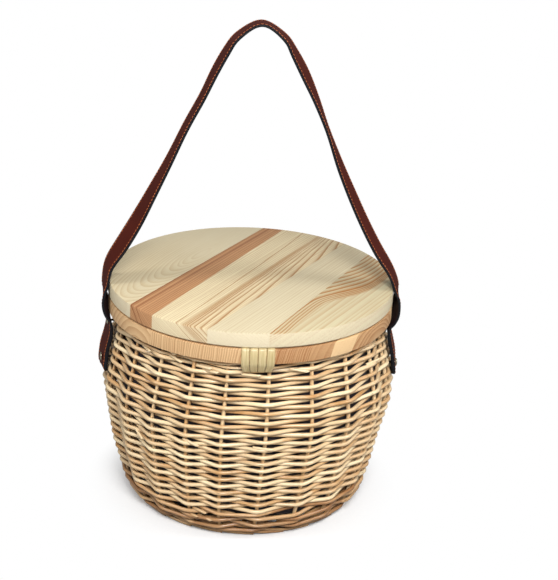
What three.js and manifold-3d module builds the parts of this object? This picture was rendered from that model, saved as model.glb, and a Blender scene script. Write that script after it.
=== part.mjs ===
// A round willow picnic basket: a woven wall on upright stakes, a pine rim ring lashed on with
// cane, a lift-off pine lid, an insulated lining and a leather carrying strap on rivets.
// Millimetres, +Z up. The origin is on the ground under the middle, and the front faces -Y.
import * as THREE from 'three';
import { mergeVertices } from 'three/addons/utils/BufferGeometryUtils.js';
import Module from 'manifold-3d';

const wasm = await Module();
wasm.setup();

// Driving sizes of the wall
const wall_height = 237.2;
const belly_radius = 169.3;
const stake_count = 22;
const stake_thickness = 4.4;
const touching_gap = 0.3;
const overrun = 6;
const merge_share = 0.001;

// The stake line from the ground to the rim, as shares of the height and of the belly radius
const line_height_shares = [0.003, 0.022, 0.05, 0.085, 0.198, 0.4, 0.61, 0.785, 0.925, 1];
const line_radius_shares = [0.756, 0.763, 0.798, 0.835, 0.886, 0.945, 1, 0.963, 0.929, 0.924];
const stake_bends = 13;

// Rods of the woven wall, from the ground up
const foot_rod = 4.4;
const foot_row_gap = 0.7;
const foot_top_share = 0.045;
const foot_flat_share = 0.8;
const wale_rod = 4.2;
const wale_row_gap = 0.8;
const wale_top_share = 0.185;
const lower_rod = 3.9;
const lower_row_gap = 0.8;
const lower_top_share = 0.595;
const upper_rod = 4.3;
const upper_row_gap = 0.85;
const rim_rod = 3.2;
const rim_row_gap = 0.45;
const rim_rows = 3;
const ease_share = 0.9;

// Base
const base_stick = 4;
const base_stick_width = 4;
const base_centre_radius = 48;
const base_rod = 4.6;
const base_row_gap = 2.8;

// Rim ring and lid, cut from the same glued pine panel
const panel_thickness = 18;
const ring_overhang = 13.1;
const ring_band = 28.5;
const lid_overhang = 0.5;
const edge_round = 1.6;
const edge_middle_share = 0.3;
const lid_stave_shares = [0.5924, 0.2153, 0.4135, 0.3659];
const lid_stave_angle = 59;
const glue_line = 0.1;
const pad_depth = 8;
const pad_clear = 6;
const pad_edge = 8;
const pad_edge_in_shares = [1, 0.5, 0];
const pad_edge_up_shares = [0, 0.25, 0.7];

// Cane lashing of the rim
const cane_width = 9;
const cane_thickness = 1.2;
const cane_gap = 0.5;
const cane_turns = 4;
const lashing_place_counts = [4, 11, 18];

// Lining
const lining_thickness = 4;
const lining_rise = 10;

// Leather strap and its rivets
const strap_width = 32;
const strap_thickness = 3;
const strap_rise = 361.5;
const strap_place_counts = { left: 6, right: 16 };
const strap_tail = 18;
const strap_bulge = 2.2;
const strap_bow_share = 2;
const strap_twist_angle = 18;
const twist_start_share = 0.18;
const twist_full_share = 0.3;
const twist_end_share = 0.62;
const strap_leg_span_shares = [1, 1, 1, 0.962, 0.84, 0.692, 0.54, 0.3925, 0.238, 0.128, 0];
const strap_leg_rise_shares = [0, 0.09, 0.178, 0.22, 0.291, 0.427, 0.587, 0.744, 0.899, 0.971, 1];
const backing_thickness = 2;
const backing_width = 20;
const rivet_shank = 2.6;
const rivet_head = 10;
const rivet_head_height = 2;
const rivet_dome_share = 0.7;
const rivet_tail = 8;
const rivet_tail_height = 1;
const lower_rivet_height = 178;

// Round pieces' facets
const ring_facets = 64;
const lining_facets = 32;
const strap_facets = 46;
const rivet_facets = 10;
const hole_facets = 12;

const willow = material(0xdcc08e, 0.55, 0);
const brown_willow = material(0xc79a63, 0.6, 0);
const pine = material(0xe8d9b8, 0.5, 0);
const red_pine = material(0xbe8c64, 0.5, 0);
const ring_pine = material(0xd8b083, 0.5, 0);
const cane = material(0xd9cb98, 0.4, 0);
const leather = material(0x5a2319, 0.45, 0);
const lining_cloth = material(0x3f4358, 0.35, 0);
const brass = material(0xb9a87a, 0.3, 0.9);

const basket = new THREE.Group();

function material(color, roughness, metalness) {
  return new THREE.MeshStandardMaterial({ color, roughness, metalness });
}

function add_piece(name, geometry, finish) {
  const mesh = new THREE.Mesh(geometry, finish);
  mesh.name = name;
  basket.add(mesh);
  return mesh;
}

// Solids: to and from the boolean library

function to_solid(geometry) {
  const bare = geometry.clone();
  bare.deleteAttribute('normal');
  bare.deleteAttribute('uv');
  const merged = mergeVertices(bare, touching_gap * merge_share);
  const vertProperties = new Float32Array(merged.attributes.position.array);
  const corners = merged.index.array;
  const kept = [];
  for (let face = 0; face < corners.length; face += 3) {
    const [a, b, c] = corners.slice(face, face + 3);
    if (a !== b && b !== c && c !== a) kept.push(a, b, c);
  }
  const triVerts = new Uint32Array(kept);
  return new wasm.Manifold(new wasm.Mesh({ numProp: 3, vertProperties, triVerts }));
}

function to_geometry(solid) {
  const mesh = solid.getMesh();
  const geometry = new THREE.BufferGeometry();
  geometry.setAttribute('position', new THREE.BufferAttribute(new Float32Array(mesh.vertProperties), 3));
  geometry.setIndex(new THREE.BufferAttribute(new Uint32Array(mesh.triVerts), 1));
  return geometry;
}

// Turns a closed surface's faces outwards, by the sign of the volume that they enclose.
function face_out(geometry) {
  const { position } = geometry.attributes;
  const { array } = geometry.index;
  const [a, b, c] = [new THREE.Vector3(), new THREE.Vector3(), new THREE.Vector3()];
  let volume = 0;
  for (let face = 0; face < array.length; face += 3) {
    a.fromBufferAttribute(position, array[face]);
    b.fromBufferAttribute(position, array[face + 1]);
    c.fromBufferAttribute(position, array[face + 2]);
    volume += a.dot(b.cross(c));
  }
  if (volume < 0) array.reverse();
  return geometry;
}

// A closed solid through rings of points, with a flat end at the first and the last.
function skin(rings) {
  const sides = rings[0].length;
  const positions = rings.flat().flatMap((point) => [point.x, point.y, point.z]);
  const faces = [];
  for (let step = 0; step < rings.length - 1; step += 1) {
    for (let side = 0; side < sides; side += 1) {
      const a = step * sides + side;
      const b = step * sides + (side + 1) % sides;
      faces.push(a, b, b + sides, a, b + sides, a + sides);
    }
  }
  const last = (rings.length - 1) * sides;
  for (let side = 1; side < sides - 1; side += 1) {
    faces.push(0, side + 1, side);
    faces.push(last, last + side, last + side + 1);
  }
  const geometry = new THREE.BufferGeometry();
  geometry.setAttribute('position', new THREE.Float32BufferAttribute(positions, 3));
  geometry.setIndex(faces);
  return face_out(geometry);
}

// A turned solid about the Z axis from a profile of [radius, height] points.
function turned(profile, facets) {
  const points = profile.map(([radius, height]) => new THREE.Vector2(radius, height));
  return face_out(new THREE.LatheGeometry(points, facets)).rotateX(Math.PI / 2);
}

// A round bar along X, from one x to another.
function bar_along_x(radius, from, to, facets) {
  const bar = new THREE.CylinderGeometry(radius, radius, to - from, facets);
  bar.rotateZ(-Math.PI / 2);
  bar.translate((from + to) / 2, 0, 0);
  return bar;
}

// Places round the basket: angles are measured from the front towards +X

const gap_angle = (2 * Math.PI) / stake_count;

function stake_angle(stake) {
  return -Math.PI + (stake + 0.5) * gap_angle;
}

function gap_centre_angle(gap) {
  return -Math.PI + gap * gap_angle;
}

function around(radius, angle, height) {
  return new THREE.Vector3(radius * Math.sin(angle), -radius * Math.cos(angle), height);
}

// The stake line: one bent rod's centreline, measured by the length along it

const rough_line = new THREE.SplineCurve(line_height_shares.map((share, index) => (
  new THREE.Vector2(line_radius_shares[index] * belly_radius, share * wall_height))));
const line_points = rough_line.getSpacedPoints(stake_bends);
line_points[line_points.length - 1].y = wall_height - touching_gap;
const line_lengths = [0];
for (let bend = 1; bend < line_points.length; bend += 1) {
  line_lengths.push(line_lengths[bend - 1] + line_points[bend].distanceTo(line_points[bend - 1]));
}
const line_length = line_lengths[line_lengths.length - 1];

function line_at(length) {
  let bend = 1;
  while (bend < line_points.length - 1 && line_lengths[bend] < length) bend += 1;
  const run = line_lengths[bend] - line_lengths[bend - 1];
  const share = (length - line_lengths[bend - 1]) / run;
  return line_points[bend - 1].clone().lerp(line_points[bend], share);
}

// The outward normal of the stake line, averaged over a rod's width each way.
function line_normal(length) {
  const reach = 2 * upper_rod;
  const along = line_at(Math.min(length + reach, line_length)).sub(line_at(Math.max(length - reach, 0)));
  along.normalize();
  return new THREE.Vector2(along.y, -along.x);
}

function length_at_height(height) {
  let length = 0;
  const step = rim_row_gap;
  while (length < line_length && line_at(length).y < height) length += step;
  return length;
}

// Half of the wall's thickness, from the stake line to the outer rods' faces
const rod_reach = stake_thickness / 2 + touching_gap + upper_rod;

// Bands of woven rows

const rim_pitch = rim_rod + rim_row_gap;
const rim_start = line_length - rim_rows * rim_pitch;
const foot_end = foot_top_share * line_length;
const wale_end = wale_top_share * line_length;
const lower_end = lower_top_share * line_length;

function band(start, end, rod, row_gap, strands) {
  const turns = Math.max(1, Math.floor((end - start) / ((rod + row_gap) * strands)));
  return { start, rod, strands, turns, pitch: (end - start) / (turns * strands) };
}

const foot_band = band(0, foot_end, foot_rod, foot_row_gap, 2);
const wale_band = band(foot_end, wale_end, wale_rod, wale_row_gap, 3);
const lower_band = band(wale_end, lower_end, lower_rod, lower_row_gap, 2);
const upper_band = band(lower_end, rim_start, upper_rod, upper_row_gap, 2);
const rim_band = band(rim_start, line_length, rim_rod, 0, rim_rows);

// Where a rivet or a cane goes through the wall, the rods beside it are eased apart.
const natural_clear = (rim_pitch - rim_rod + upper_band.pitch - upper_rod) / 2;
const ease_slope = ease_share * (upper_band.pitch - upper_rod - touching_gap) / upper_band.pitch;
const top_pass_face = rim_start + rim_row_gap / 2;
const lower_pass_row = Math.round((rim_start - length_at_height(lower_rivet_height)) / upper_band.pitch);
const lower_pass = rim_start - lower_pass_row * upper_band.pitch;
const rivet_clear = rivet_shank + 2 * touching_gap;
const cane_clear = cane_thickness + 2 * touching_gap;

const passes = [];
for (const gap of Object.values(strap_place_counts)) {
  passes.push({ gap, at: rim_start, down: rivet_clear - natural_clear, up: 0 });
  const each_way = (rivet_clear - (upper_band.pitch - upper_rod)) / 2;
  passes.push({ gap, at: lower_pass, down: each_way, up: each_way });
}
for (const gap of lashing_place_counts) {
  passes.push({ gap, at: rim_start, down: cane_clear - natural_clear, up: 0 });
}

function eased(stake, length) {
  let shift = 0;
  for (const pass of passes) {
    if (stake !== pass.gap && stake !== pass.gap - 1) continue;
    const away = length - pass.at;
    const most = away < 0 ? pass.down : pass.up;
    const first_row = upper_band.pitch / 2;
    const size = Math.max(0, most - ease_slope * Math.max(0, Math.abs(away) - first_row));
    shift += Math.sign(away) * size;
  }
  return length + shift;
}

// One strand: round and round the stakes, in front and behind by turns, with a step up of
// one round at the back. inside_every is 2 for plain weaving and 3 for a wale.
function strand(plan, which, inside_every, flat_foot) {
  const half = plan.rod / 2;
  const flat = flat_foot ? half * foot_flat_share : half;
  const away = stake_thickness / 2 + touching_gap + half;
  const rings = [];
  const add_ring = (angle, length, side) => {
    const centre = line_at(length);
    const normal = flat_foot ? new THREE.Vector2(1, 0) : line_normal(length);
    if (flat_foot) centre.y = flat;
    const lean = flat_foot ? line_normal(length).x : 1;
    const middle = centre.clone().addScaledVector(normal, side * away / lean);
    const up = new THREE.Vector2(-normal.y, normal.x);
    const corner = (out, rise) => {
      const point = middle.clone().addScaledVector(normal, out).addScaledVector(up, rise);
      return around(point.x, angle, point.y);
    };
    const low = flat_foot
      ? [corner(-(half - flat), -flat), corner(half - flat, -flat)]
      : [corner(0, -half)];
    rings.push([corner(half, 0), corner(0, half), corner(-half, 0), ...low]);
  };
  const row_length = (turn) => plan.start + plan.pitch * (turn * plan.strands + which + 0.5);
  const whole = stake_count * inside_every;
  const side_at = (count) => ((count + which + whole) % inside_every === 0 ? -1 : 1);
  const side_between = (count) => (side_at(count - 1) + side_at(count)) / 2;
  const back = gap_angle / 2 - touching_gap / belly_radius;
  const alone = plan.turns === 1;
  if (alone || which === 0) add_ring(stake_angle(0) - back, row_length(0), side_between(0));
  for (let turn = 0; turn < plan.turns; turn += 1) {
    for (let stake = 0; stake < stake_count; stake += 1) {
      add_ring(stake_angle(stake), eased(stake, row_length(turn)), side_at(turn * stake_count + stake));
    }
  }
  if (alone || which === plan.strands - 1) {
    const side = side_between(plan.turns * stake_count);
    add_ring(stake_angle(stake_count - 1) + back, row_length(plan.turns - 1), side);
  }
  return skin(rings);
}

const letters = ['a', 'b', 'c'];

function weave(name, plan, inside_every, finish, flat_foot) {
  for (let which = 0; which < plan.strands; which += 1) {
    const cut = flat_foot && which === 0;
    add_piece(`${name}_${letters[which]}`, strand(plan, which, inside_every, cut), finish);
  }
}

weave('foot_rod', foot_band, 2, brown_willow, true);
weave('bottom_wale', wale_band, 3, brown_willow, false);
weave('lower_weaver', lower_band, 2, willow, false);
weave('upper_weaver', upper_band, 2, willow, false);
weave('rim_wale', rim_band, 3, willow, false);

// Stakes: the upright rods, cut level under the rim

for (let stake = 0; stake < stake_count; stake += 1) {
  const angle = stake_angle(stake);
  const half = stake_thickness / 2;
  const rings = line_points.map((point, bend) => {
    const before = line_points[Math.max(bend - 1, 0)];
    const after = line_points[Math.min(bend + 1, line_points.length - 1)];
    const along = after.clone().sub(before).normalize();
    const level = bend === 0 || bend === line_points.length - 1;
    const normal = level ? new THREE.Vector2(1, 0) : new THREE.Vector2(along.y, -along.x);
    const outer = point.clone().addScaledVector(normal, half);
    const inner = point.clone().addScaledVector(normal, -half);
    const side = half / point.x;
    return [
      around(outer.x, angle, outer.y),
      around(point.x, angle + side, point.y),
      around(inner.x, angle, inner.y),
      around(point.x, angle - side, point.y),
    ];
  });
  add_piece(`stake_${String(stake + 1).padStart(2, '0')}`, skin(rings), willow);
}

// Base: crossed sticks bound as one star, resting on the foot rods, with a flat weave round them

const foot_top = line_at(foot_band.pitch * 1.5).y + foot_rod / 2;
const base_bottom = foot_top + touching_gap;
const base_middle = base_bottom + base_stick / 2;
const base_line = line_at(length_at_height(base_bottom));
const base_reach = base_line.x - (rod_reach + touching_gap) / line_normal(length_at_height(base_bottom)).x;

const star = new THREE.Shape();
const half_stick = base_stick_width / 2;
for (let stake = 0; stake < stake_count; stake += 1) {
  const angle = stake_angle(stake);
  const corner = (radius, side) => {
    const across = side * half_stick;
    return [
      radius * Math.sin(angle) + across * Math.cos(angle),
      -radius * Math.cos(angle) + across * Math.sin(angle),
    ];
  };
  const points = [
    corner(base_centre_radius, -1),
    corner(base_reach, -1),
    corner(base_reach, 1),
    corner(base_centre_radius, 1),
  ];
  points.forEach(([x, y], index) => {
    if (stake === 0 && index === 0) star.moveTo(x, y);
    else star.lineTo(x, y);
  });
}
const star_solid = new THREE.ExtrudeGeometry(star, { depth: base_stick, bevelEnabled: false });
star_solid.translate(0, 0, base_bottom);
add_piece('base_sticks', star_solid, brown_willow);

const base_half = base_rod / 2;
const base_pitch = base_rod + base_row_gap;
const base_first = base_centre_radius + base_half + 2 * touching_gap;
const base_last = base_line.x - 2 * rod_reach - base_half;
const base_turns = (base_last - base_first - base_pitch) / (2 * base_pitch);

// A base rod's rise over a stick: more where the sticks stand close, so that it clears their edges
function base_lift(radius) {
  return (base_stick / 2 + touching_gap + base_half) / (1 - base_stick_width / (radius * gap_angle));
}

for (let which = 0; which < 2; which += 1) {
  const rings = [];
  for (let count = 0; count < base_turns * stake_count; count += 1) {
    const angle = stake_angle(count);
    const radius = base_first + base_pitch * (which + (2 * count) / stake_count);
    const height = base_middle + ((count + which) % 2 === 0 ? -1 : 1) * base_lift(radius);
    rings.push([
      around(radius + base_half, angle, height),
      around(radius, angle, height + base_half),
      around(radius - base_half, angle, height),
      around(radius, angle, height - base_half),
    ]);
  }
  add_piece(`base_weaver_${letters[which]}`, skin(rings), brown_willow);
}

// Rim ring: a pine ring on the cut stakes, its corners eased

const ring_bottom = wall_height;
const ring_top = ring_bottom + panel_thickness;
const ring_radius = line_at(line_length).x + ring_overhang;
const ring_inner = ring_radius - ring_band;
const ring_profile = [
  [ring_inner, ring_bottom],
  [ring_radius, ring_bottom],
  [ring_radius, ring_top - edge_round],
  [ring_radius - edge_round, ring_top],
  [ring_inner + edge_round, ring_top],
  [ring_inner, ring_top - edge_round],
];
add_piece('rim_ring', turned([...ring_profile, ring_profile[0]], ring_facets), ring_pine);

// Cane lashings: flat cane wound round the ring and the rim wale, four turns side by side

const cane_pitch = cane_width + cane_gap;
const cane_half = cane_thickness / 2;
const lashing_half = (cane_turns * cane_width + (cane_turns - 1) * cane_gap) / 2;
const wall_top = line_at(rim_start);
const wall_outer = wall_top.x + rod_reach;
const wall_inner = wall_top.x - rod_reach;
const lashing_low = line_at(top_pass_face).y - touching_gap - cane_half;
const lashing_high = ring_top + touching_gap + cane_half;
const lashing_shelf = ring_bottom - touching_gap - cane_half;

function outside(radius, across) {
  const near = Math.max(0, Math.abs(across) - cane_width / 2);
  return Math.sqrt((radius + touching_gap) ** 2 - near ** 2) + cane_half;
}

function inside(radius, across) {
  const far = lashing_half;
  return Math.sqrt((radius - touching_gap) ** 2 - far ** 2) - cane_half;
}

function lashing(angle) {
  const path = [];
  for (let turn = 0; turn < cane_turns; turn += 1) {
    const across = (turn - (cane_turns - 1) / 2) * cane_pitch;
    const out = outside(ring_radius, across);
    const wall_out = outside(wall_outer, across);
    path.push({ across, out: inside(ring_inner, across), height: lashing_high });
    path.push({ across, out, height: lashing_high });
    path.push({ across, out, height: ring_bottom });
    path.push({ across, out: wall_out, height: lashing_low + 2 * cane_thickness });
    path.push({ across, out: wall_out - cane_thickness, height: lashing_low });
    path.push({ across, out: inside(wall_inner, across), height: lashing_low });
    path.push({ across, out: inside(wall_inner, across), height: lashing_shelf });
    path.push({ across, out: inside(ring_inner, across), height: lashing_shelf });
  }
  const flat = path.map(({ out, height }) => new THREE.Vector2(out, height));
  const rings = path.map((place, index) => {
    const here = flat[index];
    const into = here.clone().sub(flat[index - 1] ?? flat[index + 1].clone().lerp(here, 2)).normalize();
    const from = (flat[index + 1] ?? flat[index - 1].clone().lerp(here, 2)).clone().sub(here).normalize();
    const along = into.clone().add(from).normalize();
    const normal = new THREE.Vector2(-along.y, along.x);
    const reach = cane_half / along.dot(from);
    const point = (side, face) => {
      const spot = here.clone().addScaledVector(normal, face * reach);
      const across = place.across + side * cane_width / 2;
      return new THREE.Vector3(across, -spot.x, spot.y);
    };
    return [point(-1, -1), point(-1, 1), point(1, 1), point(1, -1)];
  });
  const geometry = skin(rings);
  geometry.rotateZ(angle);
  return { geometry, path };
}

// The least gap between two turns of a lashing, measured between their points
function least_gap(path) {
  let least = Infinity;
  const per_turn = path.length / cane_turns;
  path.forEach((a, i) => path.forEach((b, j) => {
    if (Math.floor(i / per_turn) >= Math.floor(j / per_turn)) return;
    const sideways = Math.abs(a.across - b.across) - cane_width;
    const apart = Math.hypot(a.out - b.out, a.height - b.height) - cane_thickness;
    least = Math.min(least, Math.max(sideways, apart));
  }));
  return least;
}

const lashing_names = ['cane_lashing_left', 'cane_lashing_front', 'cane_lashing_right'];
lashing_place_counts.forEach((gap, index) => {
  const { geometry, path } = lashing(gap_centre_angle(gap));
  add_piece(lashing_names[index], geometry, cane);
  console.log(`${lashing_names[index]}: least gap between turns ${least_gap(path).toFixed(2)} mm`);
});

// Lining: a padded wall round a padded floor, which stand on the base. The wall ends inside the ring

const lining_bottom = base_middle + base_lift(base_first) + base_half + touching_gap;
const lining_in = rod_reach + 5 * touching_gap + backing_thickness + rivet_tail_height;
const lining_shoulder = lashing_shelf - cane_half - touching_gap;
const lining_neck = Math.sqrt((ring_inner - touching_gap) ** 2 - lashing_half ** 2)
  - cane_thickness - touching_gap;
const lining_top = ring_bottom + lining_rise;
const lining_outer = [];
for (let bend = 0; bend < line_points.length; bend += 2) {
  const point = line_points[bend];
  const radius = point.x - lining_in;
  if (point.y > lining_bottom + lining_thickness && point.y < lining_shoulder - lining_thickness) {
    lining_outer.push([radius, point.y]);
  }
}
const lining_foot = line_at(length_at_height(lining_bottom)).x - lining_in;
const shoulder_radius = line_at(length_at_height(lining_shoulder)).x - lining_in;
const lining_inner = lining_outer.map(([radius, height]) => [radius - lining_thickness, height]);
const lining_wall_profile = [
  [lining_foot - 2 * lining_thickness, lining_bottom],
  [lining_foot - lining_thickness, lining_bottom],
  [lining_foot, lining_bottom + lining_thickness / 2],
  ...lining_outer,
  [shoulder_radius, lining_shoulder - lining_thickness / 2],
  [shoulder_radius - lining_thickness / 2, lining_shoulder],
  [lining_neck, lining_shoulder],
  [lining_neck, lining_top],
  [lining_neck - lining_thickness, lining_top],
  [lining_neck - lining_thickness, lining_shoulder - lining_thickness],
  ...lining_inner.reverse(),
  [lining_foot - 2 * lining_thickness, lining_bottom + lining_thickness],
];
const lining_wall = turned([...lining_wall_profile, lining_wall_profile[0]], lining_facets);
add_piece('lining_wall', lining_wall, lining_cloth);

const lining_floor_radius = lining_foot - 2 * lining_thickness - touching_gap;
add_piece('lining_floor', turned([
  [0, lining_bottom],
  [lining_floor_radius, lining_bottom],
  [lining_floor_radius, lining_bottom + lining_thickness],
  [0, lining_bottom + lining_thickness],
], lining_facets), lining_cloth);

// Lid: staves glued edge to edge, turned to a disc with eased edges

const lid_bottom = lashing_high + cane_half + touching_gap;
const lid_top = lid_bottom + panel_thickness;
const lid_radius = ring_radius + lid_overhang;
const edge_middle = edge_round * edge_middle_share;
const lid_profile = [
  [0, lid_bottom],
  [lid_radius - edge_round, lid_bottom],
  [lid_radius, lid_bottom + edge_round],
  [lid_radius, lid_top - edge_round],
  [lid_radius - edge_middle, lid_top - edge_middle],
  [lid_radius - edge_round, lid_top],
  [0, lid_top],
];
const lid_disc = to_solid(turned(lid_profile, ring_facets));
const stave_edges = [lid_radius];
for (const share of lid_stave_shares) {
  stave_edges.push(stave_edges[stave_edges.length - 1] - share * lid_radius);
}
stave_edges.push(-lid_radius);
const stave_turn = THREE.MathUtils.degToRad(lid_stave_angle);

for (let stave = 0; stave < stave_edges.length - 1; stave += 1) {
  const high = stave_edges[stave] + (stave === 0 ? overrun : -glue_line / 2);
  const low = stave_edges[stave + 1] + (stave === stave_edges.length - 2 ? -overrun : glue_line / 2);
  const depth = panel_thickness + 2 * overrun;
  const plank = new THREE.BoxGeometry(2 * lid_radius + 2 * overrun, high - low, depth);
  plank.translate(0, (high + low) / 2, (lid_bottom + lid_top) / 2);
  plank.rotateZ(stave_turn);
  const cut = lid_disc.intersect(to_solid(plank));
  add_piece(`lid_stave_${stave + 1}`, to_geometry(cut), stave === 1 ? red_pine : pine);
}

const pad_top = lid_bottom - touching_gap;
const pad_low = pad_top - pad_depth;
const pad_radius = ring_inner - pad_clear;
const pad_side = pad_edge_in_shares.map((share, index) => (
  [pad_radius - share * pad_edge, pad_low + pad_edge_up_shares[index] * pad_depth]));
const pad_profile = [[0, pad_low], ...pad_side, [pad_radius, pad_top], [0, pad_top]];
add_piece('lid_pad', turned(pad_profile, lining_facets), lining_cloth);

// Strap: the arch swings on the two upper rivets, and its ends are riveted to the wall

const strap_angle = gap_centre_angle(strap_place_counts.right);
const pivot_height = line_at(top_pass_face).y - touching_gap - rivet_shank / 2;
const pivot_y = around(wall_top.x, strap_angle, 0).y;
const strap_inner = lid_radius + touching_gap * 2;
const strap_span = strap_inner + strap_thickness / 2;

function leg_point(share_span, share_rise) {
  return new THREE.Vector3(share_span * strap_span, 0, share_rise * strap_rise);
}

const leg = strap_leg_span_shares.map((share, index) => leg_point(share, strap_leg_rise_shares[index]));
const arch_points = [...leg, ...leg.slice(0, -1).reverse().map((point) => point.clone().setX(-point.x))];
const arch_curve = new THREE.CatmullRomCurve3(arch_points, false, 'centripetal');
const hole_radius = rivet_shank / 2 + touching_gap;

// The legs turn a little outwards above the lid and lie square at the rivets and at the top.
function twist_at(rise) {
  const share = rise / strap_rise;
  const grow = THREE.MathUtils.smoothstep(share, twist_start_share, twist_full_share);
  const fade = 1 - THREE.MathUtils.smoothstep(share, twist_full_share, twist_end_share);
  return THREE.MathUtils.degToRad(strap_twist_angle) * grow * fade;
}

function strip_ring(centre, along, twist, width, thickness) {
  const across = new THREE.Vector3(0, 1, 0).applyAxisAngle(along, twist);
  const normal = new THREE.Vector3().crossVectors(along, across);
  const corner = (side, face) => centre.clone()
    .addScaledVector(across, side * width / 2)
    .addScaledVector(normal, face * thickness / 2);
  return [corner(-1, -1), corner(1, -1), corner(1, 1), corner(-1, 1)];
}

const arch_rings = [];
for (let step = 0; step <= strap_facets; step += 1) {
  const centre = arch_curve.getPointAt(step / strap_facets);
  const along = arch_curve.getTangentAt(step / strap_facets);
  const end = step === 0 || step === strap_facets;
  if (end) along.set(0, 0, step === 0 ? 1 : -1);
  const outward = Math.sign(centre.x) * twist_at(centre.z);
  arch_rings.push(strip_ring(centre, along, outward, strap_width, strap_thickness));
}
let arch = to_solid(skin(arch_rings));
for (const side of [1, -1]) {
  const near = Math.min(side * strap_inner, side * (strap_inner + strap_thickness));
  const eye = bar_along_x(strap_width / 2, near, near + strap_thickness, 2 * hole_facets);
  const hole = bar_along_x(hole_radius, near - overrun, near + strap_thickness + overrun, hole_facets);
  arch = arch.add(to_solid(eye)).subtract(to_solid(hole));
}
const arch_geometry = to_geometry(arch);
arch_geometry.translate(0, pivot_y, pivot_height);
add_piece('strap_arch', arch_geometry, leather);

// Lower ends and inner backings: built at the front and turned to the strap's place

const lower_rivet = line_at(lower_pass);
const tail_low = lower_rivet.y - strap_tail;
const tail_high = pivot_height - strap_width / 2 - 2 * touching_gap;
const tail_steps = 7;

function wall_face(height) {
  return line_at(length_at_height(height)).x + rod_reach + touching_gap;
}

// The strap lies on the wall at its lower rivet and bows out between there and the rim.
function tail_face(height) {
  const from = lower_rivet.y + rivet_head / 2;
  const share = THREE.MathUtils.clamp((height - from) / (pivot_height - from), 0, 1);
  return wall_face(height) + strap_bulge * (strap_bow_share * Math.sin(Math.PI * share) + share);
}

function spread(face, height, reach, pick) {
  return pick(face(height - reach), face(height), face(height + reach));
}

function strip_up(face, low, high, width, thickness) {
  const rings = [];
  for (let step = 0; step <= tail_steps; step += 1) {
    const height = low + ((high - low) * step) / tail_steps;
    const out = face(height);
    const ring = (side, depth) => new THREE.Vector3(side * width / 2, -out - depth, height);
    rings.push([ring(1, 0), ring(1, thickness), ring(-1, thickness), ring(-1, 0)].reverse());
  }
  return skin(rings);
}

function rivet_cut(angle, height, toward_x) {
  const cut = bar_along_x(hole_radius, ring_inner - 2 * ring_band, ring_radius + ring_band, hole_facets);
  const side = Math.sign(angle);
  if (toward_x) {
    if (side < 0) cut.rotateZ(Math.PI);
    cut.translate(0, pivot_y, height);
  } else {
    cut.rotateZ(angle - Math.PI / 2);
    cut.translate(0, 0, height);
  }
  return to_solid(cut);
}

function rivet(from, to, facets) {
  const shank = rivet_shank / 2;
  const geometry = turned([
    [0, from - rivet_tail_height],
    [rivet_tail / 2, from - rivet_tail_height],
    [rivet_tail / 2, from],
    [shank, from],
    [shank, to],
    [rivet_head / 2, to],
    [rivet_dome_share * rivet_head / 2, to + rivet_dome_share * rivet_head_height],
    [0, to + rivet_head_height],
  ], facets);
  return geometry.rotateY(Math.PI / 2);
}

const wall_back = (height) => line_at(length_at_height(height)).x - rod_reach - touching_gap;
const backing_face = (height) => wall_back(height) - backing_thickness - touching_gap / 2;
const backing_low = lower_rivet.y - backing_width / 2;
const backing_high = pivot_height + backing_width / 3;

for (const [name, gap] of Object.entries(strap_place_counts)) {
  const angle = gap_centre_angle(gap);
  const side = Math.sign(angle);
  const top_cut = rivet_cut(angle, pivot_height, true);
  const lower_cut = rivet_cut(angle, lower_rivet.y, false);

  const tail = strip_up(tail_face, tail_low, tail_high, strap_width, strap_thickness);
  tail.rotateZ(angle);
  const tail_solid = to_solid(tail).subtract(lower_cut);
  add_piece(`strap_end_${name}`, to_geometry(tail_solid), leather);

  const backing = strip_up(backing_face, backing_low, backing_high, backing_width, backing_thickness);
  backing.rotateZ(angle);
  const backing_solid = to_solid(backing).subtract(top_cut).subtract(lower_cut);
  add_piece(`strap_backing_${name}`, to_geometry(backing_solid), leather);

  const upper_from = Math.sqrt(backing_face(pivot_height) ** 2 - pivot_y ** 2) - 2 * touching_gap;
  const upper = rivet(upper_from, strap_inner + strap_thickness + touching_gap, rivet_facets);
  if (side < 0) upper.rotateZ(Math.PI);
  upper.translate(0, pivot_y, pivot_height);
  add_piece(`upper_rivet_${name}`, upper, brass);

  const lower_to = spread(tail_face, lower_rivet.y, rivet_head / 2, Math.max) + strap_thickness + touching_gap;
  const lower_from = spread(backing_face, lower_rivet.y, rivet_tail / 2, Math.min) - touching_gap;
  const lower = rivet(lower_from, lower_to, rivet_facets);
  lower.rotateZ(angle - Math.PI / 2);
  lower.translate(0, 0, lower_rivet.y);
  add_piece(`lower_rivet_${name}`, lower, brass);
}

export default basket;
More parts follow.
